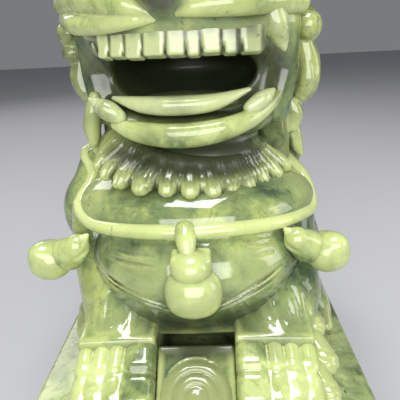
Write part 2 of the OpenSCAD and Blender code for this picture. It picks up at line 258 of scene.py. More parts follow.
def limb(a: Vec, b: Vec, ra: float, rb: float, flat: Vec = (1, 1, 1)) -> Rope:
    """A single tapering limb from a to b."""
    return Rope((a, b), (ra, rb), flat)


def curve(points: Sequence[Vec], radii: Sequence[float], steps: int = 4, flat: Vec = (1, 1, 1),
          closed: bool = False) -> Rope:
    """A rope along a smooth curve through points.

    Args:
        points: Points that the curve goes through.
        radii: The rope's radius at each point.
        steps: Pieces between one point and the next.
        flat: Squeeze along X, Y and Z.
        closed: Whether the curve comes back to its first point.

    Returns:
        The rope.
    """
    rows = np.array([(*p, r) for p, r in zip(points, radii)], float)
    count = len(rows)
    made = []
    for i in range(count if closed else count - 1):
        if closed:
            a, b, c, d = (rows[(i + k) % count] for k in (-1, 0, 1, 2))
        else:
            a, b, c, d = (rows[min(max(i + k, 0), count - 1)] for k in (-1, 0, 1, 2))
        for t in np.arange(steps) / steps:
            made.append(0.5 * (2 * b + (c - a) * t + (2 * a - 5 * b + 4 * c - d) * t ** 2
                               + (3 * b - a - 3 * c + d) * t ** 3))
    made.append(rows[0] if closed else rows[-1])
    return Rope([tuple(m[:3]) for m in made], [max(0.05, float(m[3])) for m in made], flat)


def soft_min(a: np.ndarray, b: np.ndarray, blend: float) -> np.ndarray:
    """The lesser of two fields, rounded off where they meet.

    Args:
        a: One field.
        b: The other field.
        blend: How wide the rounding is.

    Returns:
        The joined field.
    """
    if blend <= 0:
        return np.minimum(a, b)
    near = np.maximum(blend - np.abs(a - b), 0) / blend
    return np.minimum(a, b) - near * near * blend / 4


# ---------------------------------------------------------------- clay and its skin


class Clay:
    """A block of stone held as signed distances on a grid, in millimetres."""

    def __init__(self, low: Vec, high: Vec, cell: float) -> None:
        """Starts an empty block.

        Args:
            low: Lowest corner that the carving may reach.
            high: Highest corner that it may reach.
            cell: Spacing of the grid.
        """
        self.cell = cell
        self.low = np.array(low, float) - 2 * cell
        counts = np.ceil((np.array(high, float) - self.low) / cell).astype(int) + 3
        self.axes = [(self.low[i] + cell * np.arange(counts[i])).astype(np.float32) for i in range(3)]
        self.field = np.full(tuple(counts), FAR, np.float32)

    def _span(self, form: Form, reach: float) -> tuple[Span, list[np.ndarray]] | None:
        """The part of the grid within reach of a form, with its coordinates.

        Args:
            form: The form.
            reach: How far outside its box to look.

        Returns:
            The grid's slices and coordinates, or None outside the grid.
        """
        low, high = form.box()
        cut = []
        for i in range(3):
            first = max(0, int((low[i] - reach - self.low[i]) / self.cell))
            last = min(self.field.shape[i], int((high[i] + reach - self.low[i]) / self.cell) + 2)
            if last <= first:
                return None
            cut.append(slice(first, last))
        shape = ((-1, 1, 1), (1, -1, 1), (1, 1, -1))
        return tuple(cut), [self.axes[i][cut[i]].reshape(shape[i]) for i in range(3)]

    def add(self, *forms: Form, blend: float = 0.0) -> "Clay":
        """Builds forms on, each rounded into what is there.

        Args:
            *forms: The forms.
            blend: How wide the rounding is.

        Returns:
            The block.
        """
        for form in forms:
            found = self._span(form, 3 + blend)
            if found:
                cut, xyz = found
                self.field[cut] = soft_min(self.field[cut], form.distance(*xyz), blend)
        return self

    def cut(self, *forms: Form, blend: float = 0.0) -> "Clay":
        """Cuts forms away.

        Args:
            *forms: The forms.
            blend: How wide the rounding is.

        Returns:
            The block.
        """
        for form in forms:
            found = self._span(form, 3 + blend)
            if found:
                cut, xyz = found
                self.field[cut] = -soft_min(-self.field[cut], form.distance(*xyz), blend)
        return self

    def floor(self, height: float) -> "Clay":
        """Cuts everything below a height away, flat.

        Args:
            height: The height.

        Returns:
            The block.
        """
        self.field = np.maximum(self.field, (height - self.axes[2])[None, None, :])
        return self

    def press(self, form: Form, pattern: Pattern, fade: float = 1.0) -> "Clay":
        """Sinks a pattern of depths, in millimetres, into the surface inside a form.

        Args:
            form: Where the pattern is.
            pattern: Depth at each place.
            fade: How far outside the form the pattern dies away.

        Returns:
            The block.
        """
        found = self._span(form, fade)
        if found:
            cut, xyz = found
            mask = np.clip(1 - form.distance(*xyz) / fade, 0, 1)
            self.field[cut] += (mask * mask * (3 - 2 * mask) * pattern(*xyz)).astype(np.float32)
        return self

    def reach_out(self, way: tuple[float, float], height: float) -> float:
        """Measures how far the stone reaches from the upright line through the origin.

        Args:
            way: The level direction, as x and y.
            height: Where to measure.

        Returns:
            The distance to the outermost stone.
        """
        steps = np.arange(5, 60, self.cell / 2)
        values = self.sample(np.column_stack([way[0] * steps, way[1] * steps, np.full_like(steps, height)]))
        return float(steps[values < 0].max())

    def front(self, x: float, z: float) -> Vec:
        """The first stone met from the front at x and z.

        Args:
            x: Left to right.
            z: Upwards.

        Returns:
            The place on the surface.
        """
        ys = np.arange(self.axes[1][0], self.axes[1][-1], self.cell / 2)
        values = self.sample(np.column_stack([np.full_like(ys, x), ys, np.full_like(ys, z)]))
        return (x, float(ys[np.argmax(values < 0)]), z)

    def sample(self, points: np.ndarray) -> np.ndarray:
        """The field at any points, between the grid's own.

        Args:
            points: Rows of X, Y and Z.

        Returns:
            One distance for each row.
        """
        at = (points - self.low) / self.cell
        limit = np.array(self.field.shape) - 2
        base = np.clip(np.floor(at).astype(int), 0, limit)
        t = np.clip(at - base, 0, 1)
        total = np.zeros(len(points))
        for corner in range(8):
            step = np.array([corner & 1, corner >> 1 & 1, corner >> 2 & 1])
            share = np.prod(np.where(step == 1, t, 1 - t), axis=1)
            total += share * self.field[tuple((base + step).T)]
        return total

    def slope(self, points: np.ndarray) -> np.ndarray:
        """The field's gradient at points.

        Args:
            points: Rows of X, Y and Z.

        Returns:
            One gradient for each row.
        """
        out = np.empty_like(points)
        for i in range(3):
            step = np.zeros(3)
            step[i] = self.cell * 0.75
            out[:, i] = (self.sample(points + step) - self.sample(points - step)) / (1.5 * self.cell)
        return out

    def skin(self) -> tuple[np.ndarray, np.ndarray]:
        """Wraps the surface in a net of four-sided faces.

        Returns:
            Points in millimetres, and the faces as rows of four of their numbers.
        """
        f = self.field
        inside = f < 0
        count = sum(inside[i:f.shape[0] - 1 + i, j:f.shape[1] - 1 + j, k:f.shape[2] - 1 + k].astype(np.int8)
                    for i in (0, 1) for j in (0, 1) for k in (0, 1))
        cells = np.argwhere((count > 0) & (count < 8))
        number = np.full(count.shape, -1, np.int64)
        number[tuple(cells.T)] = np.arange(len(cells))
        total, hits = np.zeros((len(cells), 3)), np.zeros(len(cells))
        for axis in range(3):
            others = [i for i in range(3) if i != axis]
            for p in (0, 1):
                for q in (0, 1):
                    start = np.zeros(3, int)
                    start[others[0]], start[others[1]] = p, q
                    end = start.copy()
                    end[axis] = 1
                    a, b = f[tuple((cells + start).T)], f[tuple((cells + end).T)]
                    crosses = (a < 0) != (b < 0)
                    t = np.where(crosses, a / np.where(crosses, a - b, 1), 0)
                    total += crosses[:, None] * (start + t[:, None] * (end - start))
                    hits += crosses
        points = self.low + self.cell * (cells + total / hits[:, None])
        faces = []
        for axis in range(3):
            u, v = (axis + 1) % 3, (axis + 2) % 3
            a = [slice(1, -1)] * 3
            a[axis] = slice(0, -1)
            b = list(a)
            b[axis] = slice(1, None)
            inner_a, inner_b = inside[tuple(a)], inside[tuple(b)]
            for flip in (False, True):
                at = np.argwhere(inner_a & ~inner_b if not flip else ~inner_a & inner_b)
                at[:, u] += 1
                at[:, v] += 1
                if not len(at):
                    continue
                ring = []
                for du, dv in ((0, 0), (-1, 0), (-1, -1), (0, -1)):
                    cell = at.copy()
                    cell[:, u] += du
                    cell[:, v] += dv
                    ring.append(number[tuple(cell.T)])
                rows = np.stack(ring, axis=1)
                faces.append(rows[:, ::-1] if flip else rows)
        faces = np.concatenate(faces)
        return points, faces[(faces >= 0).all(axis=1)]


@dataclass(frozen=True)
class Setting:
    """How a block's millimetres stand in the frame: a height, and a turn about an upright line."""

    height: float
    turn: float = 0.0
    pivot: tuple[float, float] = (0.0, 8.0)

    def place(self, points: np.ndarray) -> np.ndarray:
        """Points in the frame, in metres.

        Args:
            points: Rows of X, Y and Z, in millimetres.

        Returns:
            The same points in the frame.
        """
        out = self.swing(points - np.array([*self.pivot, 0.0])) + np.array([*self.pivot, 0.0])
        out[:, 2] += self.height
        return out * MM

    def swing(self, arrows: np.ndarray) -> np.ndarray:
        """Directions in the frame.

        Args:
            arrows: Rows of X, Y and Z.

        Returns:
            The turned rows.
        """
        a = math.radians(self.turn)
        out = arrows.copy()
        out[:, 0] = arrows[:, 0] * math.cos(a) - arrows[:, 1] * math.sin(a)
        out[:, 1] = arrows[:, 0] * math.sin(a) + arrows[:, 1] * math.cos(a)
        return out


HEAD_TURN = -9.0
BODY = Setting(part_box("plinth")[1].z / MM)
HEAD = Setting(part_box("upper_teeth")[0].z / MM, HEAD_TURN)
JAW = Setting(HEAD.height)


def skinned(name: str, clay: Clay, setting: Setting, washes: Sequence[Wash]) -> bpy.types.Object:
    """Turns a carved block into a mesh object.

    Args:
        name: The piece's name.
        clay: The carved block.
        setting: Where it stands.
        washes: Where it is painted darker or paler: painted shade and light, and in places the stone's own
            tone.

    Returns:
        The object, with soft normals and the point attributes "hollow" (how enclosed each point is), "thin"
        (how thin the stone is) and "tint" (the washes summed).
    """
    points, faces = clay.skin()
    for _ in range(2):
        slope = clay.slope(points)
        size = np.maximum((slope ** 2).sum(1), 0.2)
        points = points - np.clip(clay.sample(points) / size, -0.3, 0.3)[:, None] * slope
    normals = clay.slope(points)
    normals /= np.maximum(np.linalg.norm(normals, axis=1), 1e-6)[:, None]
    # How enclosed each point is; the finishes paint enclosed places darker as painted shade, and polish them
    # duller.
    reach = 2.2
    hollow = np.clip(1 - clay.sample(points + normals * reach) / reach, 0, 1)
    # How thin the stone is; the finishes paint thin parts paler as a painted glow of light through the stone.
    thin = np.clip(1 + clay.sample(points - normals * 3.5) / 3.5, 0, 1)
    # The washes summed: mostly painted shade and painted light, in places the stone's own tone.
    tint = np.zeros(len(points))
    for wash in washes:
        away = wash.form.distance(*points.T) / wash.fade
        tint += wash.amount * np.clip(1 - away, 0, 1) ** 1.5
    mesh = bpy.data.meshes.new(name)
    mesh.vertices.add(len(points))
    mesh.vertices.foreach_set("co", setting.place(points).astype(np.float32).ravel())
    mesh.loops.add(faces.size)
    mesh.loops.foreach_set("vertex_index", faces.astype(np.int32).ravel())
    mesh.polygons.add(len(faces))
    mesh.polygons.foreach_set("loop_start", np.arange(0, faces.size, 4, dtype=np.int32))
    mesh.update(calc_edges=True)
    mesh.validate()
    mesh.shade_smooth()
    for word, values in (("hollow", hollow), ("thin", thin), ("tint", np.clip(tint, -1, 1))):
        mesh.attributes.new(word, "FLOAT", "POINT").data.foreach_set("value", values.astype(np.float32))
    if len(mesh.vertices) == len(points):
        mesh.normals_split_custom_set_from_vertices(setting.swing(normals))
    piece = bpy.data.objects.new(name, mesh)
    bpy.context.scene.collection.objects.link(piece)
    return piece


# ---------------------------------------------------------------- finishes


class Wiring:
    """A node tree and short ways to add to it."""

    def __init__(self, tree: bpy.types.NodeTree) -> None:
        """Takes hold of a tree."""
        self.tree = tree

    def node(self, kind: str, inputs: dict[str, object] | None = None,
             **settings: object) -> bpy.types.Node:
        """Adds a node.

        Args:
            kind: Blender's name of the node, without "ShaderNode".
            inputs: Values, or sockets to link, by input name or number.
            **settings: Properties of the node.

        Returns:
            The node.
        """
        made = self.tree.nodes.new(kind if kind.startswith("Node") else "ShaderNode" + kind)
        for key, value in settings.items():
            setattr(made, key, value)
        for key, value in (inputs or {}).items():
            socket = made.inputs[key]
            if isinstance(value, bpy.types.NodeSocket):
                self.tree.links.new(value, socket)
            elif socket.type == "RGBA" and len(value) == 3:
                socket.default_value = (*value, 1)
            else:
                socket.default_value = value
        return made

    def math(self, operation: str, a: object, b: object = 0.0, clamp: bool = False) -> bpy.types.NodeSocket:
        """A sum, product or other plain step on numbers."""
        return self.node("Math", {0: a, 1: b}, operation=operation, use_clamp=clamp).outputs[0]

    def mix(self, share: object, a: object, b: object, blend: str = "MIX") -> bpy.types.NodeSocket:
        """A mix of two colours.

        Args:
            share: The second colour's share.
            a: The first colour.
            b: The second colour.
            blend: How they are mixed.

        Returns:
            The mixed colour.
        """
        made = self.node("Mix", data_type="RGBA", blend_type=blend)
        for key, value in ((0, share), (6, a), (7, b)):
            if isinstance(value, bpy.types.NodeSocket):
                self.tree.links.new(value, made.inputs[key])
            else:
                made.inputs[key].default_value = value if key == 0 else (*value, 1)
        return made.outputs[2]

    def ramp(self, value: bpy.types.NodeSocket, low: float, high: float) -> bpy.types.NodeSocket:
        """Spreads a value from low..high over 0..1, eased at both ends."""
        made = self.node("MapRange", {0: value, 1: low, 2: high}, interpolation_type="SMOOTHSTEP")
        return made.outputs[0]

    def noise(self, place: bpy.types.NodeSocket, scale: float, detail: float = 3.0,
              rough: float = 0.55, twist: float = 0.0) -> bpy.types.NodeSocket:
        """Cloudy noise from 0 to 1.

        Args:
            place: Where it is sampled.
            scale: Lumps in a metre.
            detail: How many finer layers there are.
            rough: How strong those are.
            twist: How far it is pulled about.

        Returns:
            The noise.
        """
        made = self.node("TexNoise", {"Vector": place, "Scale": scale, "Detail": detail,
                                      "Roughness": rough, "Distortion": twist})
        return made.outputs[0]


def new_group(name: str, inputs: Iterable[tuple[str, str, object]],
              outputs: Iterable[tuple[str, str]]) -> tuple[Wiring, bpy.types.Node, bpy.types.Node]:
    """Starts a shader node group.

    Args:
        name: The group's name.
        inputs: Name, kind ("Float", "Color" or "Vector") and default of each input.
        outputs: Name and kind of each output.

    Returns:
        The wiring, the group's input node and its output node.
    """
    tree = bpy.data.node_groups.new(name, "ShaderNodeTree")
    for word, kind, default in inputs:
        socket = tree.interface.new_socket(name=word, in_out="INPUT", socket_type="NodeSocket" + kind)
        if kind == "Color":
            socket.default_value = (*default, 1)
        elif kind == "Float":
            socket.default_value = default
    for word, kind in outputs:
        tree.interface.new_socket(name=word, in_out="OUTPUT", socket_type="NodeSocket" + kind)
    wiring = Wiring(tree)
    return wiring, wiring.node("NodeGroupInput"), wiring.node("NodeGroupOutput")


def stone_clouds() -> bpy.types.NodeTree:
    """The stone's own cloudy colour, with paler and deeper patches and fine veins.

    Returns:
        The node group's tree.
    """
    w, given, out = new_group("stone_clouds", [
        ("Place", "Vector", None), ("Pale", "Color", (0.4, 0.45, 0.15)),
        ("Middle", "Color", (0.2, 0.25, 0.1)),
        ("Deep", "Color", (0.05, 0.08, 0.04)), ("Cloud", "Float", 0.5), ("Vein", "Float", 0.4)],
        [("Colour", "Color"), ("Grain", "Float")])
    place = given.outputs["Place"]
    broad = w.noise(place, 42, 3, 0.5, 0.6)
    patches = w.noise(place, 125, 4, 0.62, 0.8)
    grain = w.noise(place, 620, 3, 0.6)
    mixed = w.math("ADD", w.math("MULTIPLY", broad, 0.62), w.math("MULTIPLY", patches, 0.38))
    spread = w.math("MULTIPLY", w.math("SUBTRACT", mixed, 0.5), given.outputs["Cloud"])
    level = w.math("ADD", spread, 0.5)
    low = w.mix(w.ramp(level, 0.2, 0.5), given.outputs["Deep"], given.outputs["Middle"])
    high = w.mix(w.ramp(level, 0.48, 0.8), low, given.outputs["Pale"])
    crack = w.math("ABSOLUTE", w.math("SUBTRACT", w.noise(place, 58, 5, 0.6, 1.4), 0.5))
    vein = w.math("MULTIPLY", w.math("SUBTRACT", 1.0, w.ramp(crack, 0.0, 0.022)), given.outputs["Vein"])
    veined = w.mix(vein, high, given.outputs["Deep"])
    grainy = w.mix(w.math("MULTIPLY", w.ramp(grain, 0.35, 0.75), 0.16), veined, given.outputs["Pale"])
    w.tree.links.new(grainy, out.inputs["Colour"])
    w.tree.links.new(grain, out.inputs["Grain"])
    return w.tree


def stone_specks() -> bpy.types.NodeTree:
    """Small dark flecks and rarer rusty ones in the stone.

    Returns:
        The node group's tree.
    """
    w, given, out = new_group("stone_specks", [("Place", "Vector", None), ("Amount", "Float", 0.5)],
                              [("Dark", "Float"), ("Rust", "Float")])
    place = given.outputs["Place"]
    amount = given.outputs["Amount"]
    where = w.ramp(w.noise(place, 70, 2), 0.42, 0.62)
    dots = w.ramp(w.noise(place, 430, 2, 0.5), 0.66, 0.74)
    dark = w.math("MULTIPLY", w.math("MULTIPLY", dots, where), amount, clamp=True)
    rust = w.math("MULTIPLY", w.ramp(w.noise(place, 96, 4, 0.7, 0.5), 0.68, 0.78), amount, clamp=True)
    w.tree.links.new(dark, out.inputs["Dark"])
    w.tree.links.new(rust, out.inputs["Rust"])
    return w.tree


def hand_polish() -> bpy.types.NodeTree:
    """Polish from a cloth wheel: shiny where it reached, dull in the grooves, with faint waves.

    Returns:
        The node group's tree.
    """
    w, given, out = new_group("hand_polish", [
        ("Place", "Vector", None), ("Hollow", "Float", 0.0), ("Shine", "Float", 0.08),
        ("Dull", "Float", 0.35)],
        [("Roughness", "Float"), ("Height", "Float")])
    place = given.outputs["Place"]
    smear = w.noise(place, 160, 4, 0.6)
    dull = w.ramp(given.outputs["Hollow"], 0.35, 0.95)
    rough = w.math("ADD", given.outputs["Shine"], w.math("MULTIPLY", w.ramp(smear, 0.4, 0.8), 0.07))
    rough = w.math("ADD", rough, w.math("MULTIPLY", dull, given.outputs["Dull"]), clamp=True)
    wave = w.math("MULTIPLY", w.noise(place, 240, 2, 0.5), 0.7)
    pits = w.math("MULTIPLY", w.ramp(w.noise(place, 900, 2, 0.5), 0.2, 0.42), 0.3)
    w.tree.links.new(rough, out.inputs["Roughness"])
    w.tree.links.new(w.math("ADD", wave, pits), out.inputs["Height"])
    return w.tree


@dataclass(frozen=True)
class Stone:
    """One finish of the same green stone."""

    rock: Rock
    pale: Colour
    middle: Colour
    deep: Colour
    # Colour of the painted glow of light through thin stone.
    thin: Colour
    # Colour of the painted shade in creases and hollows.
    groove: Colour = (0.022, 0.034, 0.012)
    shadow: Colour = (0.030, 0.036, 0.016)
    cloud: float = 2.2
    vein: float = 0.35
    specks: float = 0.6
    shine: float = 0.07
    glow: float = 0.35
    thin_share: float = 0.8
    # How strongly the painted shade in creases is laid on.
    crease_shade_share: float = 0.75

    def material(self, groups: dict[str, bpy.types.NodeTree]) -> bpy.types.Material:
        """The finish as a Blender material.

        Args:
            groups: The shared node groups by name.

        Returns:
            The material.
        """
        made = bpy.data.materials.new(self.rock.value)
        made.use_nodes = True
        made.node_tree.nodes.clear()
        w = Wiring(made.node_tree)
        place = w.node("TexCoord").outputs["Object"]
        hollow = w.node("Attribute", attribute_name="hollow").outputs["Fac"]
        thin = w.node("Attribute", attribute_name="thin").outputs["Fac"]
        clouds = w.node("Group", node_tree=groups["stone_clouds"])
        specks = w.node("Group", node_tree=groups["stone_specks"])
        polish = w.node("Group", node_tree=groups["hand_polish"])
        for group in (clouds, specks, polish):
            w.tree.links.new(place, group.inputs["Place"])
        for word, value in (("Pale", self.pale), ("Middle", self.middle), ("Deep", self.deep)):
            clouds.inputs[word].default_value = (*value, 1)
        clouds.inputs["Cloud"].default_value = self.cloud
        clouds.inputs["Vein"].default_value = self.vein
        specks.inputs["Amount"].default_value = self.specks
        polish.inputs["Shine"].default_value = self.shine
        tint = w.node("Attribute", attribute_name="tint").outputs["Fac"]
        shade = w.ramp(w.math("MULTIPLY", tint, -1.0), 0.0, 1.0)
        w.tree.links.new(w.math("MAXIMUM", hollow, w.math("MULTIPLY", shade, 0.8)), polish.inputs["Hollow"])
        # Painted shade: where the washes go below 0 the colour runs towards the shadow colour.
        deeper = w.math("MULTIPLY", shade, 0.92)
        # Painted light where the washes go above 0, in places the stone's own paler tone.
        paler = w.math("MULTIPLY", w.ramp(tint, 0.0, 1.0), 0.8)
        # Painted glow: thin parts lean towards the thin colour, standing in for light shining through the
        # stone.
        thin_glow = w.math("MULTIPLY", w.ramp(thin, 0.1, 0.75), self.thin_share)
        colour = w.mix(thin_glow, clouds.outputs["Colour"], self.thin)
        colour = w.mix(paler, colour, self.thin)
        colour = w.mix(deeper, colour, self.shadow)
        # Painted shade in creases and hollows.
        crease_shade = w.math("MULTIPLY", w.ramp(hollow, 0.38, 0.92), self.crease_shade_share)
        colour = w.mix(crease_shade, colour, self.groove)
        colour = w.mix(specks.outputs["Dark"], colour, (0.018, 0.022, 0.012))
        colour = w.mix(w.math("MULTIPLY", specks.outputs["Rust"], 0.55), colour, (0.16, 0.085, 0.02))
        bump = w.node("Bump", {"Strength": 0.1, "Distance": 0.0004, "Height": polish.outputs["Height"]})
        shader = w.node("BsdfPrincipled", {
            "Base Color": colour, "Roughness": polish.outputs["Roughness"], "Normal": bump.outputs[0],
            "IOR": 1.56, "Subsurface Weight": self.glow, "Subsurface Radius": (1.0, 1.0, 0.35),
            "Subsurface Scale": 0.004, "Coat Weight": 0.35, "Coat Roughness": 0.03})
        w.node("OutputMaterial", {"Surface": shader.outputs[0]})
        return made


STONES = (
    Stone(Rock.PLINTH, (0.42, 0.49, 0.22), (0.25, 0.31, 0.13), (0.08, 0.11, 0.05), (0.55, 0.62, 0.32),
          specks=1.0, vein=0.5, cloud=3.0),
    Stone(Rock.BODY, (0.36, 0.42, 0.14), (0.16, 0.22, 0.09), (0.05, 0.085, 0.045), (0.50, 0.56, 0.22),
          cloud=2.6),
    Stone(Rock.MANE, (0.34, 0.39, 0.13), (0.17, 0.21, 0.08), (0.05, 0.075, 0.03), (0.48, 0.54, 0.22),
          cloud=2.4),
    # The raised and mouth finishes are paler copies of the same stone: a painted glow of light through the
    # thinner raised parts.
    Stone(Rock.RAISED, (0.50, 0.57, 0.23), (0.32, 0.39, 0.13), (0.11, 0.16, 0.06), (0.58, 0.65, 0.27),
          cloud=3.0, specks=0.35, shine=0.1),
    Stone(Rock.MOUTH, (0.48, 0.54, 0.25), (0.31, 0.37, 0.16), (0.10, 0.14, 0.07), (0.60, 0.66, 0.34),
          cloud=2.6, specks=0.5, shine=0.1),
)


@dataclass
class Workshop:
    """Turns carved blocks into dressed pieces on the frame."""

    materials: dict[Rock, bpy.types.Material] = field(default_factory=dict)
    made: list[str] = field(default_factory=list)
    torso: Clay | None = None

    def mix_finishes(self) -> None:
        """Builds the node groups and the materials."""
        groups = {g.name: g for g in (stone_clouds(), stone_specks(), hand_polish())}
        for stone in STONES:
            self.materials[stone.rock] = stone.material(groups)

    def dress(self, piece: bpy.types.Object, rock: Rock, *nodes: str) -> bpy.types.Object:
        """Gives a piece its stone and its place on the frame.

        Args:
            piece: The mesh object.
            rock: Its material slot.
            *nodes: The CAD nodes it stands for.

        Returns:
            The piece.
        """
        piece.data.materials.append(self.materials[rock])
        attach(piece, "root")
        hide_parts(*nodes)
        self.made.append(piece.name)
        LOG.info("%s: %d faces for %s", piece.name, len(piece.data.polygons), ", ".join(nodes))
        return piece

    def carve(self, node: str, clay: Clay, setting: Setting, rock: Rock,
              washes: Sequence[Wash] = ()) -> bpy.types.Object:
        """Skins a block and dresses it for one node."""
        return self.dress(skinned("carved_" + node, clay, setting, washes), rock, node)


# ---------------------------------------------------------------- patterns


def lines(direction: Vec, pitch: float, depth: float, start: float = 0.0) -> Pattern:
    """Straight rounded ridges with sharp grooves between them.

    Args:
        direction: Across the grooves.
        pitch: From groove to groove.
        depth: Of the grooves.
        start: Where the first groove lies.

    Returns:
        The pattern.
    """
    d = np.array(direction, float)
    d /= np.linalg.norm(d)

    def depths(x: np.ndarray, y: np.ndarray, z: np.ndarray) -> np.ndarray:
        """Depths at places, in millimetres.

        Args:
            x: X of each place.
            y: Y of each place.
            z: Z of each place.

        Returns:
            The depths.
        """
        u = (d[0] * x + d[1] * y + d[2] * z - start) * math.pi / pitch
        return depth * (1 - np.abs(np.sin(u)))

    return depths


def rays(at: Vec, out: Vec, up: Vec, count: float, depth: float) -> Pattern:
    """Grooves that fan out from a point, seen along the direction out.

    Args:
        at: Where the grooves meet.
        out: The direction they are seen along.
        up: Where the first one points.
        count: How many grooves there are.
        depth: Of the grooves.

    Returns:
        The pattern.
    """
    n, a = Vector(out).normalized(), Vector(up).normalized()
    a = (a - n * a.dot(n)).normalized()
    b = n.cross(a)

    def depths(x: np.ndarray, y: np.ndarray, z: np.ndarray) -> np.ndarray:
        """Depths at places, in millimetres.

        Args:
            x: X of each place.
            y: Y of each place.
            z: Z of each place.

        Returns:
            The depths.
        """
        dx, dy, dz = x - at[0], y - at[1], z - at[2]
        p = a[0] * dx + a[1] * dy + a[2] * dz
        q = b[0] * dx + b[1] * dy + b[2] * dz
        return depth * (1 - np.abs(np.sin(np.arctan2(q, p) * count / 2)))

    return depths


def spiral(at: Vec, out: Vec, pitch: float, depth: float, hand: int = 1) -> Pattern:
    """One groove that winds out from a point like a snail's shell.

    Args:
        at: Where the groove starts.
        out: The direction it is seen along.
        pitch: From one turn to the next.
        depth: Of the groove.
        hand: Which way it winds, 1 or -1.

    Returns:
        The pattern.
    """
    n = Vector(out).normalized()
    a = n.orthogonal().normalized()
    b = n.cross(a)

    def depths(x: np.ndarray, y: np.ndarray, z: np.ndarray) -> np.ndarray:
        """Depths at places, in millimetres.

        Args:
            x: X of each place.
            y: Y of each place.
            z: Z of each place.

        Returns:
            The depths.
        """
        dx, dy, dz = x - at[0], y - at[1], z - at[2]
        p = a[0] * dx + a[1] * dy + a[2] * dz
        q = b[0] * dx + b[1] * dy + b[2] * dz
        turns = np.sqrt(p * p + q * q) / pitch + hand * np.arctan2(q, p) / (2 * math.pi)
        return depth * (1 - np.abs(np.sin(turns * math.pi))) ** 1.6

    return depths


def rings(at: Vec, pitch: float, depth: float) -> Pattern:
    """Grooves in circles round a point.

    Args:
        at: Their middle.
        pitch: From ring to ring.
        depth: Of the grooves.

    Returns:
        The pattern.
    """

    def depths(x: np.ndarray, y: np.ndarray, z: np.ndarray) -> np.ndarray:
        """Depths at places, in millimetres.

        Args:
            x: X of each place.
            y: Y of each place.
            z: Z of each place.

        Returns:
            The depths.
        """
        away = np.sqrt((x - at[0]) ** 2 + (y - at[1]) ** 2 + (z - at[2]) ** 2)
        return depth * (1 - np.abs(np.sin(away * math.pi / pitch))) ** 1.5

    return depths


# ---------------------------------------------------------------- plinth


@dataclass
class Plinth:
    """The block that the lion sits on."""

    shop: Workshop
    round: float = 1.6
    steps: int = 4

    def ring(self, inset: float, height: float, low: Vector, high: Vector) -> list[Vec]:
        """One loop of a rectangle with round corners.

        Args:
            inset: In from the plinth's sides.
            height: Its height.
            low: The plinth's lowest corner, in mm.
            high: The plinth's highest corner, in mm.

        Returns:
            The loop's points, in metres.
        """
        made = []
        r = self.round
        corners = ((high.x, high.y, 0), (low.x, high.y, 90), (low.x, low.y, 180), (high.x, low.y, 270))
        for x, y, start in corners:
            cx = x - math.copysign(inset + r, x)
            cy = y - math.copysign(inset + r, y)
            for i in range(self.steps + 1):
                a = math.radians(start + 90 * i / self.steps)
                made.append(((cx + r * math.cos(a)) * MM, (cy + r * math.sin(a)) * MM, height * MM))
        return made

    def build(self) -> None:
        """Sweeps the moulded outline round the plinth."""
        low, high = (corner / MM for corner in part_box("plinth"))
        h = high.z - low.z
        outline = [(1.6, 0), (0.5, 0.3), (0, 1.2), (0, 6.6), (0.4, 7.5), (1.2, 8.0), (2.4, 8.6), (3.0, 9.6),
                   (3.0, h - 9.6), (2.4, h - 8.6), (1.2, h - 8.0), (0.4, h - 7.5), (0, h - 6.6),
                   (0, h - 1.3), (0.25, h - 0.6), (0.8, h - 0.15), (1.5, h)]
        loops = [self.ring(inset, z, low, high) for inset, z in outline]
        points = [p for loop in loops for p in loop]
        n = len(loops[0])
        faces = [tuple(reversed(range(n)))]
        for row in range(len(loops) - 1):
            faces += [(row * n + i, row * n + (i + 1) % n, (row + 1) * n + (i + 1) % n, (row + 1) * n + i)
                      for i in range(n)]
        faces.append(tuple(range((len(loops) - 1) * n, len(loops) * n)))
        mesh = bpy.data.meshes.new("carved_plinth")
        mesh.from_pydata(points, [], faces)
        mesh.shade_smooth()
        mesh.polygons[0].use_smooth = False
        mesh.polygons[-1].use_smooth = False
        piece = bpy.data.objects.new("carved_plinth", mesh)
        bpy.context.scene.collection.objects.link(piece)
        self.shop.dress(piece, Rock.PLINTH, "plinth")


# ---------------------------------------------------------------- body


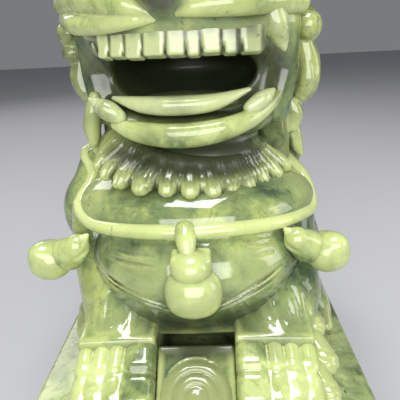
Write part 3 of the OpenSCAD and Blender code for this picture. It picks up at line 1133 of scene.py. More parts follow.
@dataclass
class Torso:
    """Chest, shoulders, back and rump, with the backbone's beads."""

    shop: Workshop
    bowl: Ball = Ball((-0.5, -9.5, 33.5), (36, 31.5, 20))
    belly: Ball = Ball((-2, -11.5, 21.5), (33, 23.5, 16))
    shelf: Ball = Ball((-1, 0, 48.5), (41.5, 32.5, 14.5))
    rump: Ball = Ball((0, 36, 27), (34, 26, 28))
    shoulders: tuple[Ball, ...] = (Ball((-38.5, 7, 41), (13, 13, 16)), Ball((31, 6, 40), (11.5, 12.5, 15)),
                                   Ball((-34, 13, 52), (12.5, 13, 14)),
                                   Ball((27.5, 13, 49), (11.5, 13, 13)))

    def scores(self, clay: Clay) -> None:
        """Cuts the pairs of curved lines on both sides of the bell.

        Args:
            clay: The torso's block.
        """
        pairs = (((-26, 42), (-19, 42.5), (-12, 43)), ((-33, 36), (-21, 32.5), (-8.5, 29)),
                 ((5.8, 28.5), (15, 33), (25, 36.5)), ((11, 19), (18.5, 20), (25.5, 23)),
                 ((15.5, 43.5), (22.5, 43)))
        for pair in pairs:
            for drop in (0.0, 2.1):
                row = [clay.front(x, z - drop) for x, z in pair]
                depths = [0.4] + [0.8] * (len(row) - 2) + [0.4]
                clay.cut(curve(row, depths, 5), blend=0.1)

    def build(self) -> None:
        """Carves the torso and the backbone."""
        clay = Clay((-53, -44, -0.5), (50, 66, 88), FINE)
        clay.add(self.bowl, self.belly, blend=6)
        clay.add(Block((-1.5, -20, 17.5), (12.5, 13.5, 3.8), 1.0), blend=1.5)
        clay.add(Ball((-2, 20, 36), (37, 30, 26)), self.rump, blend=12)
        clay.add(self.shelf, blend=2)
        clay.add(Ball((0, 16, 64), (30, 22, 18)), blend=8)
        clay.add(*self.shoulders, blend=3)
        clay.add(Ball((0, 34, 10), (32, 27, 16)), Ball((0, 8, 20), (25, 20, 18)), blend=8)
        clay.floor(0)
        self.shop.torso = clay
        self.scores(clay)
        # Painted shade on the chest under the beard and jaw; the bowl's lower front and sides darker, its
        # upper front and the shoulders paler.
        self.shop.carve("torso", clay, BODY, Rock.BODY, (
            Wash(Ball((0, -20, 66), (24, 14, 6)), -0.9, 7), Wash(Ball((-1, -33, 20), (10, 4, 3)), -0.35, 5),
            Wash(Ball((33, -22, 33), (3, 6, 10)), -0.4, 8), Wash(Ball((-34, -20, 32), (3, 6, 10)), -0.4, 8),
            Wash(Ball((-17, -36, 37), (9, 6, 5)), 0.5, 8), Wash(Ball((16, -36, 38), (9, 6, 5)), 0.5, 8),
            Wash(Ball((-16, -33, 20), (13, 6, 4)), -0.5, 8),
            Wash(Ball((18, -32, 21), (12, 6, 5)), -0.55, 8),
            Wash(Ball((-34, -14, 53), (6, 10, 4)), 0.5, 8), Wash(Ball((33, -8, 53), (6, 9, 4)), 0.5, 8)))
        self.backbone()

    def backbone(self) -> None:
        """Carves the beads down the backbone."""
        clay = Clay((-8, 20, 20), (8, 68, 84), FINE)
        count = 7
        for i in range(count):
            a = math.radians(112 - 70 * i / (count - 1))
            at = (0, 36 + 27 * math.cos(a), 27 + 29 * math.sin(a))
            clay.add(Ball(at, (5.2 - 0.25 * i, 4.6, 4.2)), blend=0.8)
        self.shop.carve("spine_ridge", clay, BODY, Rock.MANE)


@dataclass
class Tail:
    """The flame-shaped tail against the rump."""

    shop: Workshop

    def build(self) -> None:
        """Carves the tail's locks."""
        clay = Clay((-24, 44, -0.5), (24, 68, 54), FINE)
        clay.add(Rope(((0, 58, 6), (0, 60, 24), (0, 58, 40)), (9, 10, 6), (1, 0.6, 1)))
        locks = (((9, 60, 4), (15, 60, 16), (12, 61, 28), (15, 59, 36)),
                 ((6, 61, 14), (9, 62, 26), (6, 61, 38), (9, 58, 47)),
                 ((2, 61, 22), (3, 63, 34), (0.5, 61, 44), (1, 56, 52)))
        for row in locks:
            for side in Side:
                points = tuple((side.value * x, y, z) for x, y, z in row)
                clay.add(curve(points, (4.5, 5.4, 4.2, 1.0), 5, (1, 0.75, 1)), blend=0.8)
        clay.press(Block((0, 60, 25), (22, 10, 26)), lines((1, 0, 0.12), 2.3, 0.7, 0.4))
        clay.floor(0)
        self.shop.carve("tail", clay, BODY, Rock.MANE)


@dataclass
class HindLeg:
    """One haunch with its paw and toes."""

    shop: Workshop
    side: Side
    out: float = 34

    def build(self) -> None:
        """Carves haunch, paw and toes."""
        s, x = self.side.value, self.out
        clay = Clay(self.corner(14, -10, -0.5), self.corner(50, 62, 50, True), BROAD)
        clay.add(Ball((s * x, 33, 23), (14.5, 24, 21)), Ball((s * (x + 3), 19, 15), (12, 18, 14)), blend=9)
        swirl = (s * (x + 12), 31, 24)
        clay.press(Ball(swirl, (8, 17, 16)), spiral(swirl, (s, 0, 0.1), 5.2, 1.1, s), 2)
        clay.floor(0)
        self.shop.carve(f"{self.side.word}_haunch", clay, BODY, Rock.BODY)
        clay = Clay(self.corner(24, -22, -0.5), self.corner(51, 24, 18, True), FINE)
        clay.add(limb((s * 38, 10, 6), (s * 39, -8, 4.6), 9.5, 8.5, (1, 1, 0.95)), blend=2)
        clay.floor(0)
        self.shop.carve(f"{self.side.word}_hind_paw", clay, BODY, Rock.BODY, (
            Wash(Ball((s * 38, 0, 6), (10, 14, 8)), -0.3, 4),))
        clay = Clay(self.corner(26, -24, -0.5), self.corner(52, -2, 14, True), FINE)
        for i in range(4):
            at = 37.5 + (i - 1.5) * 4.4
            clay.add(Rope(((s * at, -7, 7), (s * at, -12.5, 6), (s * at, -17, 2.6)), (2.4, 2.5, 2.1)))
        clay.floor(0)
        self.shop.carve(f"{self.side.word}_hind_toes", clay, BODY, Rock.RAISED, (
            Wash(Ball((s * 38, -12, 4), (9, 8, 6)), -0.5, 4),))

    def corner(self, x: float, y: float, z: float, high: bool = False) -> Vec:
        """A corner of a block on this side, counted outwards from the middle.

        Args:
            x: Outwards from the middle.
            y: Front to back.
            z: Upwards.
            high: Whether it is the highest corner.

        Returns:
            The corner.
        """
        if self.side is Side.LEFT:
            return (x, y, z)
        inner, outer = 14, 52
        return (-inner if high else -outer, y, z)


@dataclass
class Foreleg:
    """One foreleg with its toes, claws and tufts."""

    shop: Workshop
    side: Side
    inner: float = 11.5
    lean_over: float = -1.25
    toes: tuple[float, ...] = (9, 4.8, 4.8, 4.8)
    back: float = -41
    crease: float = -49
    second_crease: float = -56
    top: float = 18.5
    deep: float = 4.2

    def x(self, out: float) -> float:
        """A place across the paw, counted outwards from its inner side."""
        return self.side.value * (self.inner + out) + self.lean_over

    def toe_spans(self) -> list[tuple[float, float]]:
        """Where each toe starts and ends, counted outwards from the inner side."""
        starts = [sum(self.toes[:i]) for i in range(len(self.toes))]
        return [(start, start + width) for start, width in zip(starts, self.toes)]

    def bounds(self, inner: float, outer: float, y: tuple[float, float], z: tuple[float, float]) -> Clay:
        """An empty block on this side."""
        low, high = sorted((self.side.value * inner, self.side.value * outer))
        return Clay((low, y[0], z[0]), (high, y[1], z[1]), FINE)

    def build(self) -> None:
        """Carves the four pieces."""
        s, word, wide = self.side.value, self.side.word, sum(self.toes)
        shoulder = 30 if self.side is Side.LEFT else 34.5
        middle, half = self.x(wide / 2), wide / 2
        clay = self.bounds(4, 52, (-50, 18), (-0.5, 62))
        clay.add(Rope(((s * shoulder, -3, 44), (s * (shoulder - 1), -9, 32), (s * 28, -20, 20),
                       (s * 24, -30, 12)),
                      (10.5, 11, 12, 10.5)))
        clay.add(Block((middle, self.back + 11.5, self.top - 9.5), (half, 11.5, 9.5), 1.0,
                       (0, s * 1.6, 0)), blend=4)
        clay.add(Block((middle, -46, 5.5), (half - 1, 8, 6.5), 2), blend=1)
        clay.press(Ball((s * 24, -24, 18), (13, 12, 9)), lines((1, 0.3 * s, 0.1), 3.1, 0.42), 3)
        clay.floor(0)
        self.shop.carve(f"{word}_foreleg", clay, BODY, Rock.BODY, (
            Wash(Ball((s * 24, -32, 16), (11, 9, 6)), 0.4, 10),
            Wash(Ball((s * 33, -6, 26), (6, 6, 12)), -0.4, 10)))
        self.build_toes()
        clay = self.bounds(8, 42, (-68, -50), (-0.5, 10))
        for start, end in self.toe_spans():
            x = self.x((start + end) / 2)
            clay.add(Rope(((x, -58, 5.2), (x, -62, 3.4), (x, -64, 1)), (2.1, 1.8, 0.5)))
        clay.floor(0)
        self.shop.carve(f"{word}_foreclaws", clay, BODY, Rock.RAISED)
        self.tufts()

    def build_toes(self) -> None:
        """Carves the toes: flat-topped, with shallow creases across the joints."""
        clay = self.bounds(8, 42, (-68, -34), (-0.5, 24))
        tops = ((self.back + 1.0, self.crease, self.top - 0.3, self.top - 3.2),
                (self.crease, self.second_crease, self.top - 3.7, self.top - 8.5),
                (self.second_crease, -62.5, self.top - 9, 4.6))
        for i, (start, end) in enumerate(self.toe_spans()):
            drop = 0.5 * i
            for y_back, y_front, z_back, z_front in tops:
                lean = math.degrees(math.atan2(z_back - z_front, y_back - y_front))
                sunk_y = self.deep * math.sin(math.radians(lean))
                sunk_z = self.deep * math.cos(math.radians(lean))
                at = (self.x((start + end) / 2), (y_back + y_front) / 2 + sunk_y,
                      (z_back + z_front) / 2 - drop - sunk_z)
                long = math.hypot(y_back - y_front, z_back - z_front) / 2 + 0.15
                width = (end - start) / 2 - 0.05
                clay.add(Block(at, (width, long, self.deep), min(2.6, width * 0.95), (lean, 0, 0)), blend=0.9)
            clay.add(Block((self.x((start + end) / 2), -51, 5), ((end - start) / 2 - 0.3, 9, 5.5), 1.6),
                     blend=0.8)
        wide = sum(self.toes)
        clay.add(Block((self.x(wide / 2), -49.5, 6.5), (wide / 2 - 1.5, 7.5, 5.8), 1.5, (26, 0, 0)),
                 blend=0.8)
        clay.floor(0)
        self.shop.carve(f"{self.side.word}_foretoes", clay, BODY, Rock.RAISED, (
            Wash(Ball((self.x(4), -50, 10), (4, 14, 6)), -0.22, 5),
            Wash(Ball((self.x(16), -46, 12), (6, 8, 6)), 0.4, 6)))

    def tufts(self) -> None:
        """Carves the locks of hair outside the leg."""
        s, word = self.side.value, self.side.word
        clay = self.bounds(26, 50, (-54, 4), (-0.5, 32))
        if self.side is Side.LEFT:
            rows = ((34.5, -14, 15, 5), (30.5, -36.5, 14.5, 3.2), (35.5, -29, 12.5, 5), (37, -40, 8, 4.8),
                    (36, -49, 5, 4.2))
        else:
            rows = ((37, -14, 14, 5), (36, -28, 11, 4.8), (34.5, -41, 9.5, 3.4), (35.5, -49.5, 4.5, 3.2))
        for out, y, z, r in rows:
            clay.add(limb((s * (out - 2.5), y + 5, z + 3), (s * out, y, z), r * 0.9, r, (0.9, 1, 0.95)),
                     blend=0.5)
            clay.press(Ball((s * out, y, z), (r, r, r)), lines((0, 1, 0.8), 2.4, 0.25), 1.5)
        clay.floor(0)
        self.shop.carve(f"{word}_leg_tufts", clay, BODY, Rock.MANE, (
            Wash(Ball((s * 36, -38, 10), (8, 16, 8)), 0.7, 8),))


@dataclass
class PawWeb:
    """The stone left between the forepaws, with rings cut on its slope."""

    shop: Workshop
    half: float = 11.5
    slope: float = 34
    middle: Vec = (-1.25, -50.5, 5.9)

    def build(self) -> None:
        """Carves the web and the boss."""
        clay = Clay((-14, -62, -0.5), (12, -34, 18), FINE)
        clay.add(Block((self.middle[0], -46, 1.9), (self.half, 13, 6), 0.6, (self.slope, 0, 0)))
        clay.add(Block((self.middle[0], -38, 6), (self.half, 1.6, 7), 1.4), blend=0.8)
        clay.add(Block((self.middle[0], -48, 1), (self.half, 9, 3), 0.6))
        clay.floor(0)
        # Painted shade along the web's top under the belly; the web's middle a little darker.
        self.shop.carve("paw_web", clay, BODY, Rock.BODY, (Wash(Ball((0, -50, 6), (10, 8, 8)), -0.25, 6),
                                                           Wash(Ball((0, -38, 14), (12, 2, 2)), -0.85, 6)))
        clay = Clay((-14, -64, -0.5), (12, -36, 20), FINE)
        clay.add(Ball(self.middle, (11, 11.5, 2.2), (self.slope, 0, 0)))
        clay.press(Ball(self.middle, (13, 14, 12)), rings(self.middle, 3.4, 0.8))
        clay.floor(0)
        self.shop.carve("ringed_boss", clay, BODY, Rock.RAISED, (
            Wash(Ball((0, -52, 8), (10, 12, 5)), -0.55, 6),))


# ---------------------------------------------------------------- harness


@dataclass
class Harness:
    """Chest strap, hanger, crown ball and bell."""

    shop: Workshop
    low: float = 46.5
    arch: float = 2.5
    rise: float = 18.5
    wide: float = 2.9
    thin: float = 2.3
    climbs: dict[Side, tuple[float, float]] = field(default_factory=lambda: {
        Side.LEFT: (72, 112), Side.RIGHT: (58, 118)})

    def on_chest(self, angle: float) -> Vec:
        """Finds where the strap's middle lies: level in front, climbing over the shoulders.

        Args:
            angle: Degrees round from the front, towards the lion's left side.

        Returns:
            The place, half sunk in the torso's skin.
        """
        start, end = self.climbs[Side.LEFT if angle >= 0 else Side.RIGHT]
        t = min(1.0, max(0.0, (abs(angle) - start) / (end - start)))
        way = (math.sin(math.radians(angle)), -math.cos(math.radians(angle)))
        height = self.low + self.arch * max(0.0, -way[1]) ** 2 + self.rise * t * t * (3 - 2 * t)
        away = self.shop.torso.reach_out(way, height) - 0.5
        return (way[0] * away, way[1] * away, height)

    def build(self) -> None:
        """Carves the four pieces."""
        path = [self.on_chest(angle) for angle in range(-180, 180, 15)]
        thick = [self.thin + (self.wide - self.thin) * max(0.0, -y) / 33 for _, y, _ in path]
        clay = Clay((-50, -38, 38), (47, 36, 72), FINE)
        clay.add(curve(path, thick, 3, (1, 1, 0.8), closed=True))
        self.shop.carve("chest_strap", clay, BODY, Rock.RAISED)
        clay = Clay((-9, -46, 38), (6, -28, 56), FINE)
        clay.add(curve(((-2.7, -33, 49.5), (-2.3, -36, 47.5), (-1.7, -39.5, 43.5)), (3.1, 2.9, 1.3)))
        pale = (Wash(Ball((-1, -41, 38), (9, 8, 14)), 0.65, 4),)
        self.shop.carve("bell_hanger", clay, BODY, Rock.RAISED, pale)
        clay = Clay((-10, -48, 34), (8, -30, 50), FINE)
        clay.add(Ball((-1.1, -39.5, 41.5), (5.8, 5.4, 4.7)))
        clay.add(Block((-1.1, -37.5, 43.5), (5.6, 3.4, 1.7), 1.2), blend=1)
        self.shop.carve("bell_crown", clay, BODY, Rock.RAISED, pale)
        clay = Clay((-12, -50, 23), (10, -30, 45), FINE)
        clay.add(Ball((-0.8, -40, 34), (8, 7, 7.5)))
        clay.add(Block((-0.8, -39.5, 34), (7.5, 5.4, 6.5), 4.5), blend=1.5)
        self.shop.carve("bell", clay, BODY, Rock.RAISED, pale)


@dataclass
class Tassel:
    """One tassel beside the chest: a leaf-shaped cap and a round end."""

    shop: Workshop
    side: Side

    def build(self) -> None:
        """Carves the cap and the end."""
        s, word = self.side.value, self.side.word
        out = 40 if self.side is Side.LEFT else 46.5
        low, high = sorted((s * (out - 24), s * (out + 9)))
        clay = Clay((low, -36, 26), (high, -10, 56), FINE)
        end = Ball((s * out, -24.5, 37), (7, 6.5, 6.5))
        clay.add(end)
        clay.add(Ball((s * (out + 1.5), -26.5, 40.5), (4.0, 4.0, 3.4)), blend=1.2)
        self.shop.carve(f"{word}_tassel_end", clay, BODY, Rock.RAISED, (
            Wash(Ball((s * out, -27, 38), (8, 8, 7)), 0.6, 4),))
        clay = Clay((low, -36, 26), (high, -10, 56), FINE)
        clay.add(Rope(((s * (out - 13.5), -26.5, 46), (s * (out - 10), -27, 42.5),
                       (s * (out - 6.5), -25.5, 39.5)),
                      (0.8, 4.0, 5.4), (1, 0.9, 1)))
        ridge = [(s * (out - 14), -29, 46), (s * (out - 8), -31.5, 42), (s * (out - 2), -31, 37)]
        clay.cut(Rope([(x, y, z - 4) for x, y, z in ridge], (0.6, 0.9, 0.6)), blend=1.2)
        clay.cut(Rope([(s * (out - 5), -32, 46), (s * (out - 5.5), -32.5, 39), (s * (out - 6), -31, 31)],
                      (0.8, 1.0, 0.8)), blend=1.2)
        # Painted shade under the cap; the cap's upper part painted paler.
        self.shop.carve(f"{word}_tassel_cap", clay, BODY, Rock.RAISED, (
            Wash(Ball((s * (out - 10), -22, 35), (5, 6, 3)), -0.7, 4),
            Wash(Ball((s * (out - 9), -27, 43), (6, 6, 4)), 0.5, 4)))


@dataclass
class Beard:
    """The striped ruff of hair that lies round the throat on the chest."""

    shop: Workshop
    spread: float = 98
    tilt: float = 0.09
    radii: tuple[float, float] = (31, 25.5)
    locks: int = 17
    longest: float = 5.0
    shortest: float = 11

    def reach(self, i: int) -> float:
        """Gives how far one lock reaches: longest right of the bell, shortest left of it.

        Args:
            i: The lock's number, counted from the lion's right.

        Returns:
            A share of the ruff's own breadth.
        """
        more = 0.13 * math.exp(-((i - self.longest) / 2) ** 2)
        less = 0.08 * math.exp(-((i - self.shortest) / 1.5) ** 2)
        return 1.0 + more - less + 0.02 * math.sin(2.4 * i)

    def place(self, angle: float, share: float, rise: float) -> Vec:
        """A point of the ruff: an angle round the throat, a share of its breadth, and a rise.

        Args:
            angle: Round the throat from the front, in radians.
            share: A share of the ruff's breadth.
            rise: Height above its rim.

        Returns:
            The place.
        """
        x, y = math.sin(angle), -math.cos(angle)
        height = 58 + 5.4 * (1 + y) - self.tilt * 31 * x
        return (-1 + self.radii[0] * share * x, 0.5 + self.radii[1] * share * y, height + rise)

    def build(self) -> None:
        """Carves the overlapping locks of hair."""
        clay = Clay((-46, -38, 48), (44, 12, 84), FINE)
        count = self.locks
        angles = [math.radians(self.spread * (2 * i / (count - 1) - 1)) for i in range(count)]
        collar = [self.place(a, 0.83, 2.2) for a in angles]
        clay.add(Rope(collar, [4.6] * count, (1, 1, 0.75)))
        inner = [self.place(a, 0.72, 5.6) for a in angles]
        clay.add(Rope(inner, [4.4] * count), blend=2)
        for i, a in enumerate(angles):
            reach = self.reach(i)
            tip = self.place(a, reach, 0.2)
            knee = self.place(a, reach * 0.9, 2.0)
            root = self.place(a, 0.76, 6)
            clay.add(curve((root, knee, tip), (3.6, 4.0, 2.7), 3, (1, 1, 0.75)), blend=0.5)
        clay.press(Ball((-1, 0, 64), (50, 50, 50)), rays((-1, 0.5, 60), (0, 0, 1), (0, -1, 0), 104, 0.22),
                   1)
        for side in Side:
            flank = Ball((side.value * 27, -7, 63), (11, 17, 16))
            clay.press(flank, rays((-1, 0.5, 60), (0, 0, 1), (0, -1, 0), 104, 0.8), 5)
        # Painted shade on the collar under the jaw; the lion's left flank paler, its right flank darker, and
        # the tips paler.
        self.shop.carve("beard_ruff", clay, BODY, Rock.MANE, (
            Wash(Ball((30, -6, 62), (8, 10, 5)), 0.3, 8), Wash(Ball((-30, -6, 70), (8, 10, 5)), -0.3, 8),
            Wash(Ball((0, -15, 66), (22, 10, 4)), -0.95, 6), Wash(Ball((0, -28, 57), (18, 3, 3)), 0.5, 3)))


# ---------------------------------------------------------------- head


@dataclass
class Skull:
    """The head's mass, hollowed by the open mouth."""

    shop: Workshop

    def build(self) -> None:
        """Carves the head."""
        clay = Clay((-38, -30, -40), (38, 36, 46), FINE)
        clay.add(Ball((0, 6, 17), (31, 25, 27)))
        clay.add(Ball((0, 0, 9), (33, 22, 15)), blend=8)
        clay.add(Ball((0, -13, 15), (21, 13, 9.5)), blend=6)
        clay.add(Ball((0, 8, -12), (31, 21, 20)), blend=8)
        clay.add(Ball((0, 4, 32), (21, 20, 12)), blend=8)
        for side in Side:
            s = side.value
            clay.add(Ball((s * 24, -8, 22), (9, 10, 9)), blend=5)
            clay.add(Rope(((s * 30, -4, 8), (s * 30.5, -3, -4), (s * 28, -4, -16)), (4.2, 4.0, 4.4)),
                     blend=4)
        clay.cut(Ball((0, -34, -3.5), (36, 31, 12.5)), blend=3)
        clay.cut(Ball((-0.5, -6, -4.4), (22.5, 30, 9.5)), blend=2)
        row = [(x, -21 + 0.0105 * x * x, 9) for x in (-26, -15, -5, 5, 15, 26)]
        clay.add(Rope(row, (2.0, 2.6, 2.7, 2.7, 2.6, 2.2), (1, 1, 1.35)), blend=1.5)
        # Painted shade inside the mouth and under the nose, and a painted highlight on the gum's middle; the
        # gum darker towards both sides.
        self.shop.carve("skull", clay, HEAD, Rock.BODY, (
            Wash(Ball((0, 2, -4), (23, 26, 9)), -1.0, 5), Wash(Ball((0, -6, -4), (30, 14, 11)), -0.75, 9),
            Wash(Ball((4, -22, 7), (14, 4, 2)), 0.2, 3), Wash(Ball((17, -19, 10.5), (10, 5, 2)), -0.45, 4),
            Wash(Ball((-17, -20, 9.5), (8, 5, 3)), -0.7, 5),
            Wash(Ball((-0.5, -23, 16), (3.6, 5, 3.6)), -1.0, 5)))


@dataclass
class Mouth:
    """Teeth, fangs, tongue, lips and jaw."""

    shop: Workshop
    tooth_widths: tuple[float, ...] = (3.5, 4.5, 5, 6, 5, 3.5, 5, 4, 6)
    tooth_gap: float = 0.3
    tooth_length: float = 6.5
    tooth_start: float = -20.5

    @staticmethod
    def arch(x: float) -> float:
        """How far forward the row of teeth stands at x."""
        return -21.5 + 0.0105 * x * x

    def build(self) -> None:
        """Carves everything in and round the mouth."""
        self.teeth()
        self.fangs()
        self.tongue()
        self.jaw()
        self.lower_lip()

    def teeth(self) -> None:
        """Carves the row of upper teeth, joined by the stone behind them."""
        clay = Clay((-28, -26, -1.5), (28, -8, 10), min(FINE, 0.45))
        x, washes = self.tooth_start, []
        for i, width in enumerate(self.tooth_widths):
            x += width / 2
            lean = math.degrees(math.atan(0.021 * x))
            low = 0.7 + 0.25 * math.sin(2.3 * i)
            at = (x, self.arch(x) - 0.2, low + self.tooth_length / 2)
            clay.add(Block(at, (width / 2, 2.0, self.tooth_length / 2), 0.8, (-16, 0, lean)))
            # Painted shade where each tooth meets the gum.
            washes.append(Wash(Ball((x, self.arch(x), 7), (1.0, 3, 0.6)), -0.4, 2.6))
            x += width / 2 + self.tooth_gap
            # Painted shade in the gap after each tooth.
            washes.append(Wash(Ball((x - 0.15, self.arch(x) - 1, 3.6), (0.15, 3, 3)), -0.75, 0.9))
        ends = [(x, self.arch(x) + 0.1, 5.6) for x in (-20, -12, -4, 4, 12, 23.5)]
        clay.add(Rope(ends, (1.8,) * len(ends), (1, 1, 2.3)), blend=1.0)
        washes.append(Wash(Ball((19.5, -18, 4), (4, 4, 4)), -0.35, 4))
        self.shop.carve("upper_teeth", clay, HEAD, Rock.MOUTH, washes)

    def fangs(self) -> None:
        """Carves the upper and the lower fangs."""
        clay = Clay((-34, -26, -6), (36, 2, 14), FINE)
        clay.add(curve(((26.5, -13.5, 11), (28, -13.5, 6.5), (30, -11.5, 1.4)), (3.6, 3.5, 0.9)))
        clay.add(curve(((-24.5, -11.5, 9), (-25, -13, 5), (-24, -13.5, 2.0)), (1.6, 1.3, 0.6)))
        # Painted shade on the small fang set back on the lion's right; a darker streak beside the other fang.
        self.shop.carve("upper_fangs", clay, HEAD, Rock.MOUTH, (
            Wash(Ball((-25, -12, 5), (3, 3, 5)), -0.7, 3),
            Wash(Ball((26.5, -14, 4), (0.5, 3, 3)), -0.4, 3)))
        clay = Clay((-36, -26, -20), (36, -6, -4), FINE)
        clay.add(curve(((-21, -17, -15), (-24.5, -16.5, -13), (-29.5, -14.5, -10)), (2.2, 3.0, 0.8)))
        clay.add(curve(((17, -18, -14), (20.5, -17, -12), (24, -15.5, -9.5)), (2.0, 2.6, 0.7)))
        self.shop.carve("lower_fangs", clay, JAW, Rock.MOUTH)

    def tongue(self) -> None:
        """Carves the tongue, whose front edge curls up at both sides."""
        clay = Clay((-26, -26, -20), (22, 10, -6), FINE)
        clay.add(curve(((-22.5, -14, -10), (-14, -18.5, -11.5), (-4, -21, -12), (7, -20, -11.5),
                        (17, -16, -9)), (0.9, 2.8, 3.3, 2.8, 0.8), flat=(1, 1, 0.82)))
        clay.add(Ball((-2, -8, -12.5), (17, 14, 2.8)), blend=2)
        # Painted shade on the tongue's back inside the mouth, and painted light along its front edge.
        self.shop.carve("tongue", clay, JAW, Rock.MOUTH, (Wash(Ball((-2, 0, -10), (20, 12, 3)), -0.9, 9),
                                                          Wash(Ball((-2, -22, -12), (14, 2, 2)), 0.5, 4)))

    def jaw(self) -> None:
        """Carves the lower jaw, hollow under the lip."""
        clay = Clay((-36, -24, -42), (36, 24, -4), FINE)
        clay.add(Ball((-1, -2, -19), (26.5, 17.5, 6.5)), blend=4)
        clay.add(Ball((-1, -1.5, -30), (25.5, 18.5, 10)), blend=4)
        for side in Side:
            s = side.value
            clay.add(Rope(((s * 19, -12.5, -17), (s * 25.5, -6, -15), (s * 27, 1, -11)), (4.0, 3.4, 2.0)),
                     blend=4)
        clay.cut(Ball((0, -14, -10.5), (21, 16, 4.5)), blend=2)
        # Painted shade on the chin under the lip and on the jaw's top inside the mouth.
        self.shop.carve("lower_jaw", clay, JAW, Rock.BODY, (
            Wash(Ball((-1, -16, -28), (20, 8, 6)), -1.0, 8),
            Wash(Ball((0, -8, -10), (32, 12, 8)), -0.9, 6)))

    def lower_lip(self) -> None:
        """Carves the thick lower lip."""
        clay = Clay((-34, -30, -28), (36, 0, -2), FINE)
        clay.add(curve(((-22.5, -16, -17.5), (-16.5, -19, -19), (-8, -22, -20), (0, -23, -20),
                        (9, -22, -19), (17, -18, -17), (23.5, -13, -13.5), (28, -8.5, -9),
                        (31, -5.4, -4.6)),
                       (1.6, 3.0, 3.5, 3.6, 3.3, 2.8, 2.2, 1.5, 0.6), flat=(1, 0.9, 1)))
        # Painted shade along the lip's underside and a painted highlight along its upper front; its end at
        # the lion's left darker.
        self.shop.carve("lower_lip", clay, JAW, Rock.RAISED, (
            Wash(Ball((2, -22, -23), (20, 6, 2)), -0.45, 4), Wash(Ball((27, -10, -9), (6, 6, 5)), -0.5, 7),
            Wash(Ball((-10, -24, -19), (10, 3, 2)), 0.5, 5)))


@dataclass
class UpperLip:
    """One side of the upper lip, with the whisker pad above it."""

    shop: Workshop
    side: Side

    def build(self) -> None:
        """Carves the two lobes."""
        s, word = self.side.value, self.side.word
        low, high = sorted((0, s * 42))
        clay = Clay((low - 3, -34, 2), (high + 3, 4, 26), FINE)
        if self.side is Side.LEFT:
            lobe = ((2.4, -24, 11), (7.5, -24.5, 12), (16.5, -22.5, 12.5), (26, -15.5, 13), (34, -6, 13))
            pad = ((2, -24, 13), (7, -23.5, 15.5), (15, -21.5, 18), (24, -15, 19), (33, -5, 18.5))
        else:
            lobe = ((-2.7, -24, 10), (-10, -23.5, 10), (-20, -19, 10), (-28.5, -14, 10.5),
                    (-35.5, -5.6, 12))
            pad = ((-3, -24.5, 11), (-10, -24, 13.5), (-19, -19.5, 15.5), (-27.5, -13, 16.5),
                   (-36, -4.6, 16.5))
        clay.add(curve(lobe, (0.8, 2.1, 2.9, 3.1, 2.8)))
        clay.add(curve(pad, (0.6, 2.8, 3.9, 4.0, 3.6)))
        # Painted shade at the lip's inner end, under the nose.
        self.shop.carve(f"{word}_upper_lip", clay, HEAD, Rock.RAISED, (
            Wash(Ball((s * 3, -26, 15), (3, 3, 3)), -0.5, 4),))


